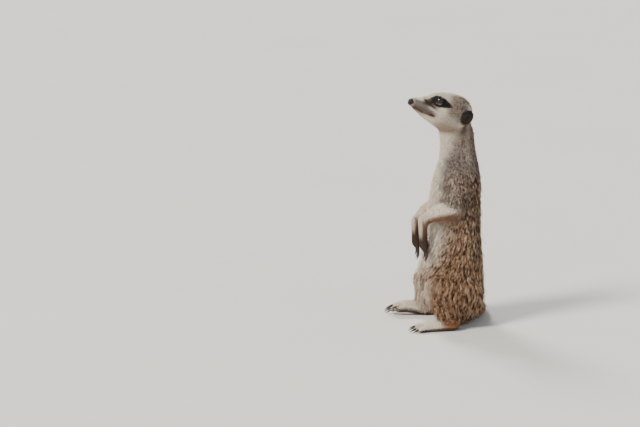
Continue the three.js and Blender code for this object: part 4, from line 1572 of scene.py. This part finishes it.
def colour_property(name, description, default):
    """A colour that the panel shows, as three shares of light."""
    facts = {"name": name, "description": description, "default": default}
    return FloatVectorProperty(size=3, subtype="COLOR", min=0, max=1, **facts)


def size_property(name, description, default, low, high):
    """A number that the panel shows, kept between its lowest and highest."""
    return FloatProperty(name=name, description=description, default=default, min=low, max=high)


class MeerkatColours(bpy.types.PropertyGroup):
    """The colours of the coat, the bare parts and the floor."""

    brown: colour_property("Back", "Hair of the upper back", (0.160, 0.095, 0.062))
    tan: colour_property("Flank", "Hair of the flanks, haunches and tail", (0.335, 0.185, 0.098))
    grey: colour_property("Neck", "Grey hair of the neck, temples and shoulders", (0.235, 0.205, 0.190))
    cream: colour_property("Front", "Pale hair of the face, throat, chest and belly", (0.82, 0.73, 0.61))
    rust: colour_property("Heels", "Warm hair of heels and under the forearms", (0.30, 0.125, 0.050))
    skin: colour_property("Skin", "Bare skin of the soles", (0.20, 0.12, 0.09))
    # the Hands colour also darkens, as painted shade, a band below each ear, the neck's wrinkles and the
    # furrows between the digits
    dark: colour_property("Hands", "Dark hair of the hands and below the ears", (0.055, 0.032, 0.022))
    black: colour_property("Eye patch", "Hair of eye patches, ears and tail tip", (0.012, 0.011, 0.012))
    bar: colour_property("Bars", "Dark tips that form the bars of the back", (0.024, 0.010, 0.007))
    pale: colour_property("Pale tips", "Pale tips between the bars", (0.60, 0.44, 0.30))
    nose: colour_property("Nose", "The nose pad", (0.010, 0.009, 0.010))
    iris: colour_property("Iris", "The iris of the eyes", (0.034, 0.014, 0.006))
    claw: colour_property("Claws", "The horn of the claws", (0.022, 0.016, 0.013))
    floor: colour_property("Floor", "The floor", (0.78, 0.76, 0.73))


class MeerkatSizes(bpy.types.PropertyGroup):
    """How fine the skin is, and the sizes of the eyes, claws and whiskers."""

    voxel: size_property("Skin fineness", "Edge of the skin's faces, in millimetres", 1.47, 0.8, 4)
    rounds: IntProperty(name="Smoothing", description="Rounds of easing", default=34, min=0, max=80)
    iris: size_property("Iris", "Radius of the iris, in millimetres", 3.7, 1, 5)
    pupil: size_property("Pupil", "Half height of the pupil, in millimetres", 1.1, 0.3, 3)
    sharpness: size_property("Claw bluntness", "Power of the claws' taper", 1.5, 0.5, 4)
    whisker: size_property("Whisker thickness", "Root's radius, as a share of the length", 0.009, 0, 1)
    droop: size_property("Whisker droop", "Bend of a whisker, as a share of the length", 0.08, 0, 1)


class MeerkatCoat(bpy.types.PropertyGroup):
    """How full, long, wide and untidy the coat's tufts are."""

    fullness: size_property("Fullness", "Number of tufts, as a share", 1.0, 0.05, 2)
    length: size_property("Length", "Length of the hair, as a share", 1.0, 0.1, 2)
    width: size_property("Width", "Width of the strands, as a share", 1.0, 0.1, 3)
    tousle: size_property("Tousle", "Turn of the tufts from the coat's lie, in degrees", 9, 0, 90)


class MeerkatStage(bpy.types.PropertyGroup):
    """The camera's distance, the lights and the floor."""

    distance: FloatProperty(name="Camera", description="Its distance", default=3.0, unit="LENGTH")
    power: FloatProperty(name="Key light", description="Strength of the key light", default=4.0, min=0)
    sky: FloatProperty(name="Sky", description="Strength of the light all round", default=0.40, min=0)
    floor: FloatProperty(name="Floor", description="Half the floor's width", default=30.0, unit="LENGTH")


# ---- Operators ----


def dressed(piece, material, slot, *nodes):
    """Gives a finished piece its material, and ties it to the frame."""
    piece.data.materials.clear()
    piece.data.materials.append(material)
    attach(piece, "root")
    if nodes:
        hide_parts(*nodes)


def found(name):
    """A piece made by an operator that runs earlier."""
    if name not in bpy.data.objects:
        raise RuntimeError(f"{name} has to be made first")
    return bpy.data.objects[name]


class MEERKAT_OT_skin(bpy.types.Operator):
    """One skin over every part of flesh, with its lids, lips, ears and toes"""

    bl_idname = "meerkat.skin"
    bl_label = "Skin"

    def execute(self, context):
        sizes = context.scene.meerkat_sizes
        piece, *facts = build_skin(sizes.voxel, sizes.rounds)
        keep_coat_facts(piece.data, *facts)
        dressed(piece, skin_material(context.scene.meerkat_colours), "coat_grey", *FLESH)
        return {"FINISHED"}


class MEERKAT_OT_eyes(bpy.types.Operator):
    """Both eyeballs, with their irises and pupils"""

    bl_idname = "meerkat.eyes"
    bl_label = "Eyes"

    def execute(self, context):
        sizes = context.scene.meerkat_sizes
        material = eye_material(context.scene.meerkat_colours)
        for side in SIDES:
            dressed(build_eye(side, sizes.iris, sizes.pupil), material, "eye", f"eye_{side}")
        return {"FINISHED"}


class MEERKAT_OT_nose(bpy.types.Operator):
    """The nose pad and its nostrils"""

    bl_idname = "meerkat.nose"
    bl_label = "Nose"

    def execute(self, context):
        dressed(build_nose(), nose_material(context.scene.meerkat_colours), "nose", "nose")
        return {"FINISHED"}


class MEERKAT_OT_claws(bpy.types.Operator):
    """The claws of the hands and feet"""

    bl_idname = "meerkat.claws"
    bl_label = "Claws"

    def execute(self, context):
        material = claw_material(context.scene.meerkat_colours)
        for node in [name for name in frame["nodes"] if "_claw_" in name]:
            dressed(build_claw(node, context.scene.meerkat_sizes.sharpness), material, "claw", node)
        return {"FINISHED"}


class MEERKAT_OT_whiskers(bpy.types.Operator):
    """The whiskers of the lips, brows and chin"""

    bl_idname = "meerkat.whiskers"
    bl_label = "Whiskers"

    def execute(self, context):
        sizes = context.scene.meerkat_sizes
        defaults = {"Thickness": sizes.whisker, "Droop": sizes.droop, "Sides": 5, "Rows": 8, "Seed": 7}
        material = whisker_material(context.scene.meerkat_colours)
        dressed(build_whiskers(found("skin").data, material, defaults), material, "coat_dark")
        return {"FINISHED"}


class MEERKAT_OT_coat(bpy.types.Operator):
    """The coat's tufts, in pieces by part of the body"""

    bl_idname = "meerkat.coat"
    bl_label = "Coat"

    def execute(self, context):
        material = coat_material(context.scene.meerkat_colours)
        facts = SkinFacts(found("skin").data)
        for seed, name in enumerate(COATS):
            dressed(build_coat(name, facts, context.scene.meerkat_coat, seed + 1), material, "coat_grey")
        return {"FINISHED"}


class MEERKAT_OT_stage(bpy.types.Operator):
    """The camera, the lights and the floor"""

    bl_idname = "meerkat.stage"
    bl_label = "Stage"

    def execute(self, context):
        stage = context.scene.meerkat_stage
        build_camera(stage.distance)
        build_lights(stage.power, stage.sky)
        build_floor(stage.floor, context.scene.meerkat_colours)
        return {"FINISHED"}


class MEERKAT_PT_panel(bpy.types.Panel):
    """Lists the meerkat's settings and the steps that build it"""

    bl_idname = "MEERKAT_PT_panel"
    bl_label = "Meerkat"
    bl_space_type = "VIEW_3D"
    bl_region_type = "UI"
    bl_category = "Meerkat"

    def draw(self, context):
        for settings in SETTINGS:
            group = getattr(context.scene, settings)
            for name in group.__annotations__:
                self.layout.prop(group, name)
        for operator in OPERATORS:
            self.layout.operator(operator.bl_idname)


SETTINGS = {
    "meerkat_colours": MeerkatColours,
    "meerkat_sizes": MeerkatSizes,
    "meerkat_coat": MeerkatCoat,
    "meerkat_stage": MeerkatStage,
}
OPERATORS = (
    MEERKAT_OT_stage,
    MEERKAT_OT_skin,
    MEERKAT_OT_eyes,
    MEERKAT_OT_nose,
    MEERKAT_OT_claws,
    MEERKAT_OT_whiskers,
    MEERKAT_OT_coat,
)


def register():
    """Makes the settings, the steps and the panel known to Blender."""
    for group in (*SETTINGS.values(), *OPERATORS, MEERKAT_PT_panel):
        bpy.utils.register_class(group)
    for name, group in SETTINGS.items():
        setattr(bpy.types.Scene, name, PointerProperty(type=group))


def unregister():
    """Takes away what register made known."""
    for name in SETTINGS:
        delattr(bpy.types.Scene, name)
    for group in reversed((*SETTINGS.values(), *OPERATORS, MEERKAT_PT_panel)):
        bpy.utils.unregister_class(group)


def main():
    """Builds the meerkat and its stage step by step."""
    register()
    for operator in OPERATORS:
        getattr(bpy.ops.meerkat, operator.bl_idname.split(".")[1])()


if __name__ == "__main__":
    main()
